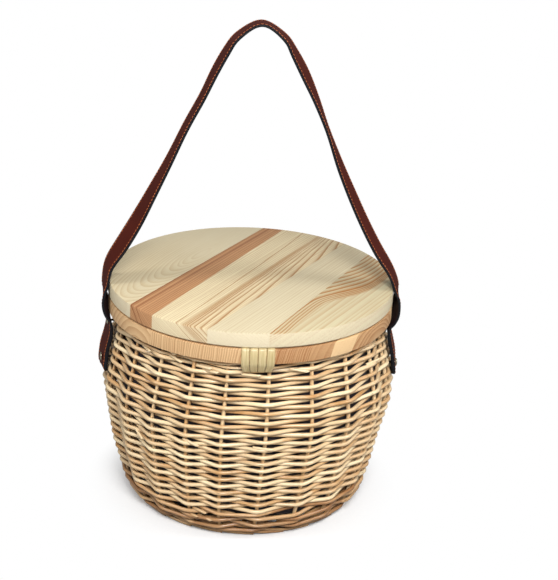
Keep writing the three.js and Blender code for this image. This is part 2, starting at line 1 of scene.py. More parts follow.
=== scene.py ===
import bmesh
import bpy
import numpy as np
from mathutils import Matrix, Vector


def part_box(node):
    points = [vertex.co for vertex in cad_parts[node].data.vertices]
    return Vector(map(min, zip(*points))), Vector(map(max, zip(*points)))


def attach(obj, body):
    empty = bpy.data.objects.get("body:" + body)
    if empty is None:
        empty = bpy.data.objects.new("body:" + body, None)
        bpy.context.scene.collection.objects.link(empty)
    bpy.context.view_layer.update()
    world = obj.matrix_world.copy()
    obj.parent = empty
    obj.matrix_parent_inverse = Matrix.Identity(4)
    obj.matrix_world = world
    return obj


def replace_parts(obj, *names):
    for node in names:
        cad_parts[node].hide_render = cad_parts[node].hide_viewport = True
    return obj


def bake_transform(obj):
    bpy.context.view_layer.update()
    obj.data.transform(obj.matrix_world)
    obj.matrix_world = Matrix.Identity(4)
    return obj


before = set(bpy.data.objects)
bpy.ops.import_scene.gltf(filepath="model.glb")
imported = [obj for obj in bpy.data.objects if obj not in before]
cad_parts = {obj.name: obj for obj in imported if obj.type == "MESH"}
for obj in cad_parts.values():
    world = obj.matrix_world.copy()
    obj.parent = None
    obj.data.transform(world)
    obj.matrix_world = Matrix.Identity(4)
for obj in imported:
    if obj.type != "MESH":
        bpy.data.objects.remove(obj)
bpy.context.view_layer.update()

# Camera
# A long lens stands a little to the left of the front and looks down on the lid. The camera is
# rolled slightly, and its aim is offset from the lid's middle as in the photograph.
lid_top = 0.275
lid_radius = 0.170
camera_turn, camera_tilt, camera_roll = np.radians([3.6, 22.194, 2.752])
camera_distance = 12 * lid_radius
focal_pixels = 1711.9
long_side_pixels = 580
lid_middle_pixels = (-28.22, -12.51)
sensor_width = 36


def placed(name, data, right, up, back, place):
    """An object at a place, whose own axes lie along the directions right, up and back."""
    made = bpy.data.objects.new(name, data)
    columns = np.column_stack([right, up, back, place])
    made.matrix_world = Matrix([*columns.tolist(), [0, 0, 0, 1]])
    bpy.context.scene.collection.objects.link(made)
    return made


facing = np.array([
    np.sin(camera_turn) * np.cos(camera_tilt),
    np.cos(camera_turn) * np.cos(camera_tilt),
    -np.sin(camera_tilt),
])
level = np.array([np.cos(camera_turn), -np.sin(camera_turn), 0])
rising = np.cross(level, facing)
metres_per_pixel = camera_distance / focal_pixels
stand = (
    np.array([0, 0, lid_top])
    - facing * camera_distance
    - level * lid_middle_pixels[0] * metres_per_pixel
    + rising * lid_middle_pixels[1] * metres_per_pixel
)
camera_right = np.cos(camera_roll) * level + np.sin(camera_roll) * rising
camera_up = np.cos(camera_roll) * rising - np.sin(camera_roll) * level
camera = placed("camera", bpy.data.cameras.new("camera"), camera_right, camera_up, -facing, stand)
camera.data.sensor_width = sensor_width
camera.data.lens = sensor_width * focal_pixels / long_side_pixels
camera.data.clip_end = 60
bpy.context.scene.camera = camera
bpy.context.scene.view_settings.view_transform = "Standard"


# Studio
# The basket stands on a wide white sheet. A soft box at the front right lights the rods from
# above, and two at the sides throw a soft shadow of each leg of the strap over the lid.
class NodeValue:
    """A node's output to reckon with: each operation adds one Math node to its tree."""

    def __init__(self, socket):
        self.socket = socket

    def calc(self, operation, *others):
        """The output of a Math node on this value and others."""
        values = dict(enumerate((self, *others)))
        return NodeValue(put(self.socket.id_data, "Math", values, operation=operation).outputs[0])

    def __add__(self, other):
        return self.calc("ADD", other)

    def __sub__(self, other):
        return self.calc("SUBTRACT", other)

    def __rsub__(self, other):
        return self * -1 + other

    def __mul__(self, other):
        return self.calc("MULTIPLY", other)

    def __truediv__(self, other):
        return self.calc("DIVIDE", other)

    def __pow__(self, other):
        return self.calc("POWER", other)

    def __abs__(self):
        return self.calc("ABSOLUTE")


def put(tree, kind, sockets=None, **options):
    """Adds one shader node. A socket takes a plain value or another node's output."""
    node = tree.nodes.new("ShaderNode" + kind)
    for option, value in options.items():
        setattr(node, option, value)
    for socket, value in (sockets or {}).items():
        value = value.socket if isinstance(value, NodeValue) else value
        if isinstance(value, bpy.types.NodeSocket):
            tree.links.new(value, node.inputs[socket])
        else:
            node.inputs[socket].default_value = value
    return node


def remap(value, low, high, first=0, last=1, **options):
    """A value moved from the range low to high to the range first to last, and kept within it."""
    sockets = {0: value, 1: low, 2: high, 3: first, 4: last}
    return NodeValue(put(value.socket.id_data, "MapRange", sockets, **options).outputs[0])


def between(value, low, high):
    """0 below low, 1 above high, smooth between."""
    return remap(value, low, high, interpolation_type="SMOOTHSTEP")


def mix(share, first, second):
    """A colour that goes from the first to the second as the share goes from 0 to 1."""
    factor, first_colour, second_colour, mixed_colour = 0, 6, 7, 2
    sockets = {factor: share, first_colour: first, second_colour: second}
    return put(share.socket.id_data, "Mix", sockets, data_type="RGBA").outputs[mixed_colour]


def tint(red, green, blue):
    """The linear colour of an 8-bit screen colour."""
    screen = np.array([red, green, blue]) / 255
    linear = np.where(screen <= 0.04045, screen / 12.92, ((screen + 0.055) / 1.055) ** 2.4)
    return (*linear, 1)


def fresh_material(name):
    """An empty node material and its tree."""
    material = bpy.data.materials.new(name)
    material.use_nodes = True
    material.node_tree.nodes.clear()
    return material, material.node_tree


def unit(vectors):
    """Vectors divided by their own lengths."""
    return vectors / np.linalg.norm(vectors, axis=-1, keepdims=True)


white = (1, 1, 1, 1)
floor_half = 9
corners = [(-floor_half, -floor_half, 0), (floor_half, -floor_half, 0),
           (floor_half, floor_half, 0), (-floor_half, floor_half, 0)]
floor_mesh = bpy.data.meshes.new("floor")
floor_mesh.from_pydata(corners, [], [(0, 1, 2, 3)])
floor = bpy.data.objects.new("floor", floor_mesh)
bpy.context.scene.collection.objects.link(floor)
floor_material, tree = fresh_material("white_sheet")
spot = put(tree, "TexCoord").outputs["Object"]
distance = NodeValue(put(tree, "VectorMath", {0: spot}, operation="LENGTH").outputs["Value"])
seen = NodeValue(put(tree, "LightPath").outputs["Is Camera Ray"])
grey = (0.3, 0.3, 0.3, 1)
matt = put(tree, "BsdfDiffuse", {"Color": mix(seen, grey, white)})
glow = put(tree, "Emission", {"Color": white, "Strength": 1})
shadow_ends, clear_from = 0.12, 0.2
share = seen * between(distance, shadow_ends, clear_from)
mixed = put(tree, "MixShader", {0: share, 1: matt.outputs[0], 2: glow.outputs[0]})
put(tree, "OutputMaterial", {"Surface": mixed.outputs[0]})
floor_mesh.materials.append(floor_material)

world = bpy.data.worlds.new("studio")
world.use_nodes = True
bpy.context.scene.world = world
tree = world.node_tree
tree.nodes.clear()
rays = put(tree, "LightPath")
seen, through = rays.outputs["Is Camera Ray"], rays.outputs["Is Transmission Ray"]
fill_strength = 0.26
strength = NodeValue(seen).calc("MAXIMUM", through) * (1 - fill_strength) + fill_strength
sky = put(tree, "Background", {"Color": white, "Strength": strength})
put(tree, "OutputWorld", {"Surface": sky.outputs[0]})

soft_box_width = 0.7
soft_box_aim = np.array([0, 0, 0.2])
soft_boxes = {
    "key_box": ((0.15, -1.7, 1.6), 42),
    "left_box": ((-1.6, -0.6, 1.5), 12),
    "right_box": ((1.6, -0.5, 1.5), 14),
}
for name, (place, power) in soft_boxes.items():
    lamp = bpy.data.lights.new(name, "AREA")
    lamp.size = soft_box_width
    lamp.energy = power
    toward = unit(soft_box_aim - place)
    side = unit(np.cross(toward, [0, 0, 1]))
    placed(name, lamp, side, np.cross(side, toward), -toward, place)


# Wall line
# Every upright rod of the wall is bent to one line, from the foot out to the belly and in again
# under the rim. The rows of weaving are set out by the length along this line.
def smooth_share(value, low, high):
    """0 below low and 1 above high, with a cubic between."""
    share = np.clip((value - low) / (high - low), 0, 1)
    return share * share * (3 - 2 * share)


wall_height = 0.2372
belly_radius = 0.1693
stake_count = 22
stake_thickness = 0.0044
touching_gap = 0.0003
line_height_shares = np.array([0.003, 0.022, 0.05, 0.085, 0.198, 0.4, 0.61, 0.785, 0.925, 1])
line_radius_shares = np.array([0.756, 0.763, 0.798, 0.835, 0.886, 0.945, 1, 0.963, 0.929, 0.924])


def smooth_through(points, steps):
    """A Catmull-Rom curve: between two points each coordinate is the cubic whose slopes at them
    are half the distance between their neighbours."""
    before = np.concatenate([points[:1], points[:-1]])
    after = np.concatenate([points[1:], points[-1:]])
    slope = (after - before) / 2
    share = np.linspace(0, 1, steps, endpoint=False)[None, :, None]
    curve = (
        (2 * share**3 - 3 * share**2 + 1) * points[:-1, None]
        + (share**3 - 2 * share**2 + share) * slope[:-1, None]
        + (3 * share**2 - 2 * share**3) * points[1:, None]
        + (share**3 - share**2) * slope[1:, None]
    )
    return np.concatenate([curve.reshape(-1, points.shape[1]), points[-1:]])


def path_lengths(path):
    """The length run so far at each point of a path."""
    return np.concatenate([[0], np.cumsum(np.linalg.norm(np.diff(path, axis=0), axis=1))])


wall_line = smooth_through(
    np.stack([line_radius_shares * belly_radius, line_height_shares * wall_height], 1), 24)
wall_lengths = path_lengths(wall_line)
line_length = wall_lengths[-1]
wall_slope = unit(np.gradient(wall_line, wall_lengths, axis=0))


def wall_at(length):
    """Radius, height and outward normal of the wall line at a length along it."""
    radius, height = (np.interp(length, wall_lengths, wall_line[:, side]) for side in (0, 1))
    out = np.interp(length, wall_lengths, wall_slope[:, 1])
    fall = -np.interp(length, wall_lengths, wall_slope[:, 0])
    return radius, height, out, fall


def length_at(height):
    """The length along the wall line at a height."""
    return np.interp(height, wall_line[:, 1], wall_lengths)


hand_bulges = [(1, 0.0034, 0.172, 0.04), (-1, 0.003, 0.085, 0.028)]


def around(radius, angle, height):
    """Points at an angle from the front, growing to the right as the camera sees it. A basket
    worked by hand isn't quite round: it has bulges, each with a side, a size, a height and a
    spread, high on the right and low on the left."""
    radius, angle, height = np.broadcast_arrays(radius, angle, height)
    for side, size, middle, spread in hand_bulges:
        beside = np.maximum(0, side * np.sin(angle)) ** 2
        radius = radius + beside * size * np.exp(-((height - middle) / spread) ** 2)
    return np.stack([radius * np.sin(angle), -radius * np.cos(angle), height], -1)


gap_angle = 2 * np.pi / stake_count
even_angles = -np.pi + (np.arange(stake_count) + 0.5) * gap_angle
stake_shifts = np.radians([0.6, -0.8, 0.9, 0.2, 0.2, 0, 0, 0.5, 0, -0.7, -2.5,
                           -1.9, 0.2, 1.3, 2.3, 0.2, 0, -0.2, 0.2, -0.9, 0.8, -0.5])
stake_lean = np.radians(3)
upright_share = 0.9


def stake_angle(number, lengths):
    """The angle of an upright rod at a length along it: they stand unevenly, and all lean a little
    to the right as they rise."""
    lean = stake_lean * (np.asarray(lengths) / line_length - upright_share)
    return even_angles[number] + stake_shifts[number] + lean


# Willow
# Buff willow rods are boiled, stripped and left satin: cream to tan, streaked along their length,
# with small brown bud marks. The rods of the foot are browner.
def pattern(kind, place, stretch, **sockets):
    """A texture's value at a place, stretched by one factor or by one for each axis."""
    tree = place.id_data
    if isinstance(stretch, tuple):
        sized = put(tree, "VectorMath", {0: place, 1: stretch}, operation="MULTIPLY")
        place, stretch = sized.outputs[0], 1
    texture = put(tree, "Tex" + kind, {"Vector": place, "Scale": stretch, **sockets})
    return NodeValue(texture.outputs[0])


def object_place(tree):
    """The place of a point in the object."""
    return put(tree, "TexCoord").outputs["Object"]


def uv_part(tree, axis):
    """How far along a piece a point lies, or with axis 1 how far across it."""
    return NodeValue(put(tree, "SeparateXYZ", {0: put(tree, "UVMap").outputs[0]}).outputs[axis])


def coat(tree, colour, rough, relief=None, strength=0, depth=0, **sockets):
    """The outer skin of a material, with a fine relief where one is given."""
    if relief:
        bump = put(tree, "Bump", {"Height": relief, "Strength": strength, "Distance": depth})
        sockets["Normal"] = bump.outputs[0]
    skin = put(tree, "BsdfPrincipled", {"Base Color": colour, "Roughness": rough, **sockets})
    put(tree, "OutputMaterial", {"Surface": skin.outputs[0]})


rod_girth = 0.0138
shaded_side_turn = 5.4


def willow_material(name, pale, deep, shade):
    """Rod colours run from pale to deep by the rod's own tone, with streaks along its length, and
    the side that lies inwards and down is darkened: painted shade."""
    material, tree = fresh_material(name)
    uv = put(tree, "UVMap").outputs[0]
    tone = NodeValue(put(tree, "Attribute", attribute_name="rod_tone").outputs["Fac"])
    streak = pattern("Noise", uv, (9, 900, 1), Detail=4)
    run = pattern("Noise", uv, (28, 60, 1), Detail=2)
    share = remap(tone * 0.55 + run * 0.75 + streak * 0.5, 0.45, 1.25)
    ramp = put(tree, "ValToRGB", {0: share})
    ramp.color_ramp.elements[0].color = deep
    ramp.color_ramp.elements[1].color = pale
    middle = ramp.color_ramp.elements.new(0.5)
    middle.color = tuple(np.array(pale) * 0.55 + np.array(deep) * 0.45)
    bud = remap(pattern("Voronoi", uv, (34, 210, 1), Randomness=1), 0.1, 0.04)
    colour = mix(bud * 0.75, ramp.outputs[0], shade)
    side = uv_part(tree, 1) * (2 * np.pi / rod_girth)
    # Painted shade: each rod is darkened on its inner, lower side towards the same dark colour that
    # marks the buds.
    under = remap((side - shaded_side_turn).calc("COSINE"), -0.1, 1, 0, 0.72)
    coat(tree, mix(under, colour, shade), remap(streak, 0, 1, 0.2, 0.42), streak, 0.25, 0.0004,
         **{"Coat Weight": 0.5, "Coat Roughness": 0.24})
    return material


willow = willow_material("buff_willow", tint(254, 231, 188), tint(198, 143, 80), tint(70, 40, 18))
brown_willow = willow_material(
    "brown_willow", tint(218, 176, 126), tint(156, 104, 60), tint(70, 40, 20))


def piece(name, parts, material, body, capped=True, sharp=0):
    """One mesh from grids of points. A part is (grid, along, across, tone): rows run along the
    piece and columns round it, along and across are its UV places, and tone is per row. Sharp is
    the angle in degrees for a piece whose seams are to be welded."""
    points, faces, places, tones, first = [], [], [], [], 0
    for grid, along, across, tone in parts:
        rows, columns = grid.shape[:2]
        row, column = np.indices((rows - 1, columns))
        corners = [(row, column), (row, column + 1), (row + 1, column + 1), (row + 1, column)]
        quads = np.stack([first + r * columns + c % columns for r, c in corners], -1)
        faces += quads.reshape(-1, 4).tolist()
        spots = np.stack([np.stack([along[r], across[c]], -1) for r, c in corners], 2)
        places.append(spots.reshape(-1, 2))
        if capped:
            end = np.arange(columns) + first
            faces += [end[::-1].tolist(), (end + (rows - 1) * columns).tolist()]
            places.append(np.repeat([[along[0], across[0]], [along[-1], across[0]]], columns, 0))
        points.append(grid.reshape(-1, 3))
        tones.append(np.repeat(np.broadcast_to(tone, rows), columns))
        first += rows * columns
    mesh = bpy.data.meshes.new(name)
    mesh.from_pydata(np.concatenate(points).tolist(), [], faces)
    layer = mesh.uv_layers.new(name="UVMap")
    layer.data.foreach_set("uv", np.concatenate(places).astype(np.float32).ravel())
    tone_layer = mesh.attributes.new("rod_tone", "FLOAT", "POINT")
    tone_layer.data.foreach_set("value", np.concatenate(tones).astype(np.float32))
    mesh.polygons.foreach_set("use_smooth", np.ones(len(mesh.polygons), bool))
    mesh.materials.append(material)
    made = bpy.data.objects.new(name, mesh)
    bpy.context.scene.collection.objects.link(made)
    if body:
        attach(made, body)
    if sharp:
        weld(mesh, sharp)
    return made


def weld(mesh, sharp):
    """Joins the doubled points of a mesh's seams and poles, turns its faces outwards, and keeps
    edges sharper than an angle in degrees crisp."""
    work = bmesh.new()
    work.from_mesh(mesh)
    bmesh.ops.remove_doubles(work, verts=work.verts, dist=1e-6)
    bmesh.ops.dissolve_degenerate(work, edges=work.edges, dist=1e-7)
    bmesh.ops.recalc_face_normals(work, faces=work.faces)
    work.to_mesh(mesh)
    work.free()
    mesh.polygons.foreach_set("use_smooth", np.ones(len(mesh.polygons), bool))
    mesh.set_sharp_from_angle(angle=np.radians(sharp))


upright = np.array([0, 0, 1])


def full_turn(count):
    """Even angles round a full turn, without the last, which is the first again."""
    return np.linspace(0, 2 * np.pi, count, endpoint=False)


def rod(path, thickness, tone, upward=upright, sides=8, start=0):
    """A round rod: at each point of the path a circle square to it, which starts on the inner
    side, opposite to the path's direction crossed with upward."""
    ahead = unit(np.gradient(path, axis=0))
    outward = unit(np.cross(ahead, upward))
    upward = np.cross(outward, ahead)
    turn = full_turn(sides)[None, :, None]
    half = np.broadcast_to(thickness, len(path))[:, None, None] / 2
    grid = path[:, None] + half * (np.sin(turn) * upward[:, None] - np.cos(turn) * outward[:, None])
    along = path_lengths(path) + start
    across = np.linspace(0, np.pi, sides + 1) * np.mean(thickness)
    return grid, along, across, tone


# Woven wall
# Two rods at a time chase each other round the stakes, one in front where the other is behind.
# The lower rows are of thinner rods beaten down tight. Three-rod wales bind the foot and the rim.
wale_rod, lower_rod, upper_rod, rim_rod = 0.0043, 0.0044, 0.0047, 0.0032
rim_pitch = rim_rod + 0.00045
rim_start = line_length - 3 * rim_pitch
rod_length = 0.83
steps_per_gap = 12
rounding = 2
rivet_height, rivet_room, cane_room = 0.178, 0.0032, 0.0018
easing, sway_height = 0.9, 0.0016


def band(start, end, rod_size, gap, strands):
    """Rows of a band: whole rounds of all its strands, spread evenly from start to end."""
    turns = max(1, int((end - start) / ((rod_size + gap) * strands)))
    return {"start": start, "rod": rod_size, "strands": strands, "turns": turns,
            "pitch": (end - start) / (turns * strands)}


foot_end, wale_end, lower_end = (share * line_length for share in (0.045, 0.185, 0.595))
bands = {
    "bottom_wale": band(foot_end, wale_end, wale_rod, 0.0007, 3),
    "lower_weaver": band(wale_end, lower_end, lower_rod, 0.0003, 2),
    "upper_weaver": band(lower_end, rim_start, upper_rod, 0.00045, 2),
    "rim_wale": band(rim_start, line_length, rim_rod, 0, 3),
}
upper_pitch = bands["upper_weaver"]["pitch"]
lower_rivet_row = round((rim_start - length_at(rivet_height)) / upper_pitch)
lower_rivet_length = rim_start - lower_rivet_row * upper_pitch
natural_clear = (rim_pitch - rim_rod + upper_pitch - upper_rod) / 2
each_way = (rivet_room - (upper_pitch - upper_rod)) / 2
strap_gap_numbers = {"left": 6, "right": 16}
lashing_gap_numbers = {"left": 4, "front": 11, "right": 18}
strap_gaps, lashing_gaps = strap_gap_numbers.values(), lashing_gap_numbers.values()
passes = [(gap, rim_start, rivet_room - natural_clear, 0) for gap in strap_gaps]
passes += [(gap, lower_rivet_length, each_way, each_way) for gap in strap_gaps]
passes += [(gap, rim_start, cane_room - natural_clear, 0) for gap in lashing_gaps]


def eased(stakes, lengths):
    """Rows beside a rivet or a cane are eased apart, less the further they are from it."""
    slope = easing * (upper_pitch - upper_rod - touching_gap) / upper_pitch
    shift = np.zeros(len(lengths))
    for gap, at, down, up in passes:
        away = lengths - at
        most = np.where(away < 0, down, up)
        size = np.maximum(0, most - slope * np.maximum(0, np.abs(away) - upper_pitch / 2))
        beside = (stakes == gap) | (stakes == gap - 1)
        shift += np.where(beside, np.sign(away) * size, 0)
    return lengths + shift


def straight_runs(control, steps):
    """Even steps in a straight line from each control point to the next, without the last."""
    share = np.arange(steps)[None, :, None] / steps
    return (control[:-1, None] * (1 - share) + control[1:, None] * share).reshape(-1, 3)


def soften(path, width):
    """Each point becomes the mean of its neighbours under a raised-cosine weight."""
    weight = np.hanning(2 * width + 3)[1:-1]
    weight = weight / weight.sum()
    padded = np.concatenate([
        2 * path[:1] - path[width:0:-1], path, 2 * path[-1:] - path[-2:-width - 2:-1]])
    return np.stack([np.convolve(padded[:, axis], weight, "valid") for axis in range(3)], 1)


def sway(angles, lengths, seed):
    """How far rows wander up and down together: a few waves round the basket, drifting upwards."""
    random = np.random.default_rng(seed)
    total = 0
    for waves in (3, 5, 8, 11):
        phase, drift = random.uniform(0, 6.28), random.uniform(-40, 40)
        total = total + np.sin(waves * angles + phase + drift * lengths) / waves
    return sway_height * total


reach_lost, corner_lost = 0.297, 0.1487
wale_lift, tuck_gaps = 0.16, 0.9
sway_shares = {"rim_wale": 0.2}


def strand(name, which, front, behind, seed):
    """One strand of a band: control points at each stake, in front of so many and behind so many,
    joined by straight runs that are then softened, as a rod bends round the stakes. They stand
    out further by what the softening takes off."""
    plan = bands[name]
    count = np.arange(plan["turns"] * stake_count)
    stakes, turns = count % stake_count, count // stake_count
    cycle = front + behind
    place = (count + which) % cycle
    side = np.where(place == 0, -1.0, 1.0) if behind == 1 else np.where(place < front, 1.0, -1.0)
    lengths = plan["start"] + plan["pitch"] * (turns * plan["strands"] + which + 0.5)
    lengths = eased(stakes, lengths)
    angles = stake_angle(stakes, lengths)
    lengths = lengths + sway(angles, lengths, 7) * sway_shares.get(name, 0.7)
    if cycle == 3:
        lengths = lengths + wale_lift * plan["rod"] * np.choose(place, [0, -1, 1])
    span = 2 * rounding / steps_per_gap
    reach = ((stake_thickness + plan["rod"]) / 2 + touching_gap) / (1 - reach_lost * span)
    radius, height, out, fall = wall_at(lengths)
    radius = radius + corner_lost * span * belly_radius * gap_angle * np.tan(gap_angle / 2)
    control = around(radius + side * reach * out, angles, height + side * reach * fall)
    tucked = around((radius - reach * out)[[0, -1]],
                    angles[[0, -1]] + np.array([-1, 1]) * tuck_gaps * gap_angle,
                    height[[0, -1]] + np.array([-1, 1]) * plan["pitch"] / 2)
    control = np.concatenate([tucked[:1], control, tucked[1:]])
    path = straight_runs(control, steps_per_gap)
    path = soften(np.concatenate([path, control[-1:]]), rounding)
    run = path_lengths(path)
    random = np.random.default_rng(seed)
    shift = random.uniform(0, rod_length)
    number = ((run + shift) // rod_length).astype(int)
    along_rod = (run + shift) % rod_length / rod_length
    tones = random.uniform(0, 1, number.max() + 1)[number]
    lumps = 0.03 * np.sin(run * 71 + seed) + 0.02 * np.sin(run * 163)
    thickness = plan["rod"] * (1.09 - 0.1 * along_rod + lumps)
    _, _, out, fall = wall_at(length_at(path[:, 2]))
    upward = unit(path * [-1, -1, 0]) * fall[:, None]
    upward[:, 2] = out
    return rod(path, thickness, tones, upward, start=seed)


letters = "abc"
weaves = [
    ("bottom_wale", 2, 1, brown_willow, "brown_willow"),
    ("lower_weaver", 1, 1, willow, "willow"),
    ("upper_weaver", 1, 1, willow, "willow"),
    ("rim_wale", 2, 1, willow, "willow"),
]
for order, (name, front, behind, material, slot) in enumerate(weaves):
    for which in range(bands[name]["strands"]):
        node = f"{name}_{letters[which]}"
        made = piece(f"{node}_rods", [strand(name, which, front, behind, 10 * order + which)],
                     material, "basket")
        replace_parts(made, node)

# Stakes
# The upright rods are the thickest. They are pushed in beside the base sticks, pricked up to the
# wall line and cut level under the rim ring.
stake_butt = 0.0046
stake_random = np.random.default_rng(3)
lengths = np.linspace(0, line_length, 60)
for number, even_angle in enumerate(even_angles):
    radius, height = wall_at(lengths)[:2]
    height[-1] = wall_height - touching_gap
    path = around(radius, stake_angle(number, lengths), height)
    upward = np.array([-np.cos(even_angle), -np.sin(even_angle), 0])
    lumps = 1 + 0.03 * np.sin(lengths * 95 + number) + 0.02 * np.sin(lengths * 40 + 2 * number)
    part = rod(path, stake_butt * lumps, stake_random.uniform(0.1, 0.6), upward, 10, number)
    made = piece(f"stake_rod_{number + 1:02d}", [part], willow, "basket")
    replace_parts(made, f"stake_{number + 1:02d}")

# Foot
# The stakes' lower ends are turned down and laced to the right, each over the next two, so the
# basket stands on a rope-like border.
foot_top, foot_fall, foot_rod, foot_taper = 0.0155, 0.0137, 0.0042, 0.0007
bent_at, laced_gaps, begun_gaps = 0.008, 3.25, 0.35
begun_in, crossing_out, hump_out, hand_rise = 0.0028, 0.0048, 0.0012, 0.0005
foot_parts = {"foot_rod_a": [], "foot_rod_b": []}
foot_random = np.random.default_rng(5)
share = np.linspace(0, 1, 52)
hump = np.sin(np.pi * share)
out = crossing_out * smooth_share(share, 0, 0.16) - begun_in + hump_out * hump
fall = 0.55 * share + 0.45 * smooth_share(share, 0.15, 0.8)
thickness = foot_rod - foot_taper * share
for number in range(stake_count):
    angle = stake_angle(number, 0) + (share * laced_gaps - begun_gaps) * gap_angle
    height = foot_top - foot_fall * fall + hand_rise * foot_random.uniform(-1, 1) * hump
    path = around(wall_at(bent_at)[0] + out, angle, np.maximum(height, thickness / 2))
    part = rod(path, thickness, foot_random.uniform(0.2, 1), start=60 + number)
    foot_parts["foot_rod_a" if number % 2 == 0 else "foot_rod_b"].append(part)
for node, parts in foot_parts.items():
    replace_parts(piece(f"{node}_border", parts, brown_willow, "basket"), node)

# Rod ends
# Where one rod ends and the next begins, its cut end is left standing out from the wall, pale and
# slanting, as basket makers leave them to be trimmed.
rod_ends = [(-45.8, 225.7), (-32.6, 234), (-30, 226.7), (-17.5, 224.3), (-14.6, 221), (21.1, 224),
            (1.6, 220.5), (-77, 226), (-46.2, 119.5), (-20.7, 133.3), (7.1, 133.9), (-18.9, 35.3),
            (-16.8, 25.3), (-23, 26), (62, 205), (120, 150), (168, 96), (-140, 188), (-100, 60)]
end_thickness, end_slant, brown_below = 0.0034, 0.0022 / (0.0017 * 0.0026), 0.06
end_degrees, end_back = 7.2, 6.5
end_parts = []
end_random = np.random.default_rng(11)
share = np.linspace(0, 1, 10)
for degrees, height in rod_ends:
    radius, height, out, _ = wall_at(length_at(height / 1000))
    beyond = 0.001 + 0.0072 * share**1.2
    drop = 0.0035 * (0.5 - share) * end_random.uniform(-0.6, 1)
    angle = np.radians(degrees - end_back + end_degrees * share)
    path = around(radius + beyond * out, angle, height + drop)
    tone = 0.9 if height > brown_below else 0.2
    part = rod(path, end_thickness - 0.0003 * share, tone, start=degrees)
    part[0][-1] += end_slant * (part[0][-1][:, 2:] - path[-1, 2]) * (path[-1] - path[-2])
    end_parts.append(part)
piece("cut_rod_ends", end_parts, willow, "basket")

# Base
# Six sticks are split and five pushed through them, tied where they cross and opened out like
# spokes. Two rods are woven round them from the middle to the edge.
stick_thickness, stick_pitch, stick_lift = 0.0039, 0.0043, 0.0021
tied_radius, opened_radius = 0.014, 0.048
upper_sticks, lower_sticks = 6, 5
base_middle = (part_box("base_sticks")[0].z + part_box("base_sticks")[1].z) / 2
base_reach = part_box("base_sticks")[1].x
stick_parts = []
run = np.linspace(-1, 1, 61)
opened = smooth_share(np.abs(run) * base_reach, tied_radius, opened_radius)[:, None]
for number in range(upper_sticks + lower_sticks):
    upper = number < upper_sticks
    place = number - (2.5 if upper else upper_sticks + 2)
    turn = 0 if upper else np.pi / 2
    ends = [turn + place * gap_angle, turn + np.pi - place * gap_angle]
    fanned = [around(np.abs(run) * base_reach, end, base_middle) for end in ends]
    fan = np.where(run[:, None] < 0, fanned[0], fanned[1])
    across = np.array([np.cos(turn), np.sin(turn), 0])
    down = np.array([np.sin(turn), -np.cos(turn), 0])
    straight = place * stick_pitch * across - run[:, None] * base_reach * down
    straight[:, 2] = base_middle + (stick_lift if upper else -stick_lift)
    path = straight * (1 - opened) + fan * opened
    stick_parts.append(rod(path, stick_thickness, 0.3 + 0.05 * number, start=90 + number))
made = piece("base_stick_star", stick_parts, brown_willow, "basket")
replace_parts(made, "base_sticks")

base_rod = 0.0046
base_pitch = base_rod + 0.0028
base_first = opened_radius + base_rod / 2 + 2 * touching_gap
weaver_thickness, weaver_lift = 0.0042, 0.0036
count = np.arange(91)
for which in range(2):
    radius = base_first + base_pitch * (which + 2 * count / stake_count)
    lift = weaver_lift * np.where((count + which) % 2 == 0, -1, 1)
    control = around(radius, -np.pi + (count + 0.5) * gap_angle, base_middle + lift)
    path = soften(straight_runs(control, 10), 4)
    part = rod(path, weaver_thickness, 0.35 + 0.2 * which, start=120 + which)
    node = f"base_weaver_{letters[which]}"
    made = piece(f"{node}_rods", [part], brown_willow, "basket")
    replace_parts(made, node)


# Pine
# Lid and ring are sawn from boards glued up of pine staves. Each stave shows its growth rings as
# lines on top, as arches where the ring bends up to the face, and as slanted lines on its sawn end.
grain_angle = np.radians(59)


def board_place(tree, dip, level):
    """Object places turned so that X runs along the grain, and their along, across and height.
    Across slides by the dip for each step below the level, so that lines slant on a sawn end."""
    rotation = {"Vector": object_place(tree), "Rotation": (0, 0, -grain_angle)}
    turned = put(tree, "Mapping", rotation).outputs[0]
    along, across, up = map(NodeValue, put(tree, "SeparateXYZ", {0: turned}).outputs)
    return turned, along, across - (up - level) * dip, up


def drift(turned, stretch):
    """A slow wander of the lines to either side of zero."""
    return pattern("Noise", turned, stretch, Detail=2) - 0.5


def late_wood(number, sharp, end):
    """One line for each whole number. It darkens slowly, by a power of the share run since the
    last, and ends quickly once the share has passed its end."""
    share = number.calc("FRACT")
    return share**sharp * remap(share, 1, end)


def ring_lines(place, middle, spacing, sharp, arch=0, arch_at=0, depth=0.12):
    """Late-wood lines: the rings' number is the distance from the tree's core over the spacing.
    The core lies at middle across and depth below the face, and arch tells how fast the rings
    close in ovals about arch_at."""
    turned, along, across, up = place
    wander = drift(turned, (5, 22, 22)) * 0.006
    sideways = across - middle + wander
    lengthways = (along - arch_at) * arch
    below = up - (lid_top - depth) + wander
    square = abs(sideways) ** 2 + abs(lengthways) ** 2 + abs(below) ** 2
    number = square.calc("SQRT") / spacing
    uneven = put(turned.id_data, "TexNoise", {"W": number, "Scale": 0.35, "Detail": 1},
                 noise_dimensions="1D")
    return late_wood(number + NodeValue(uneven.outputs[0]) * 1.6, sharp, 0.93)


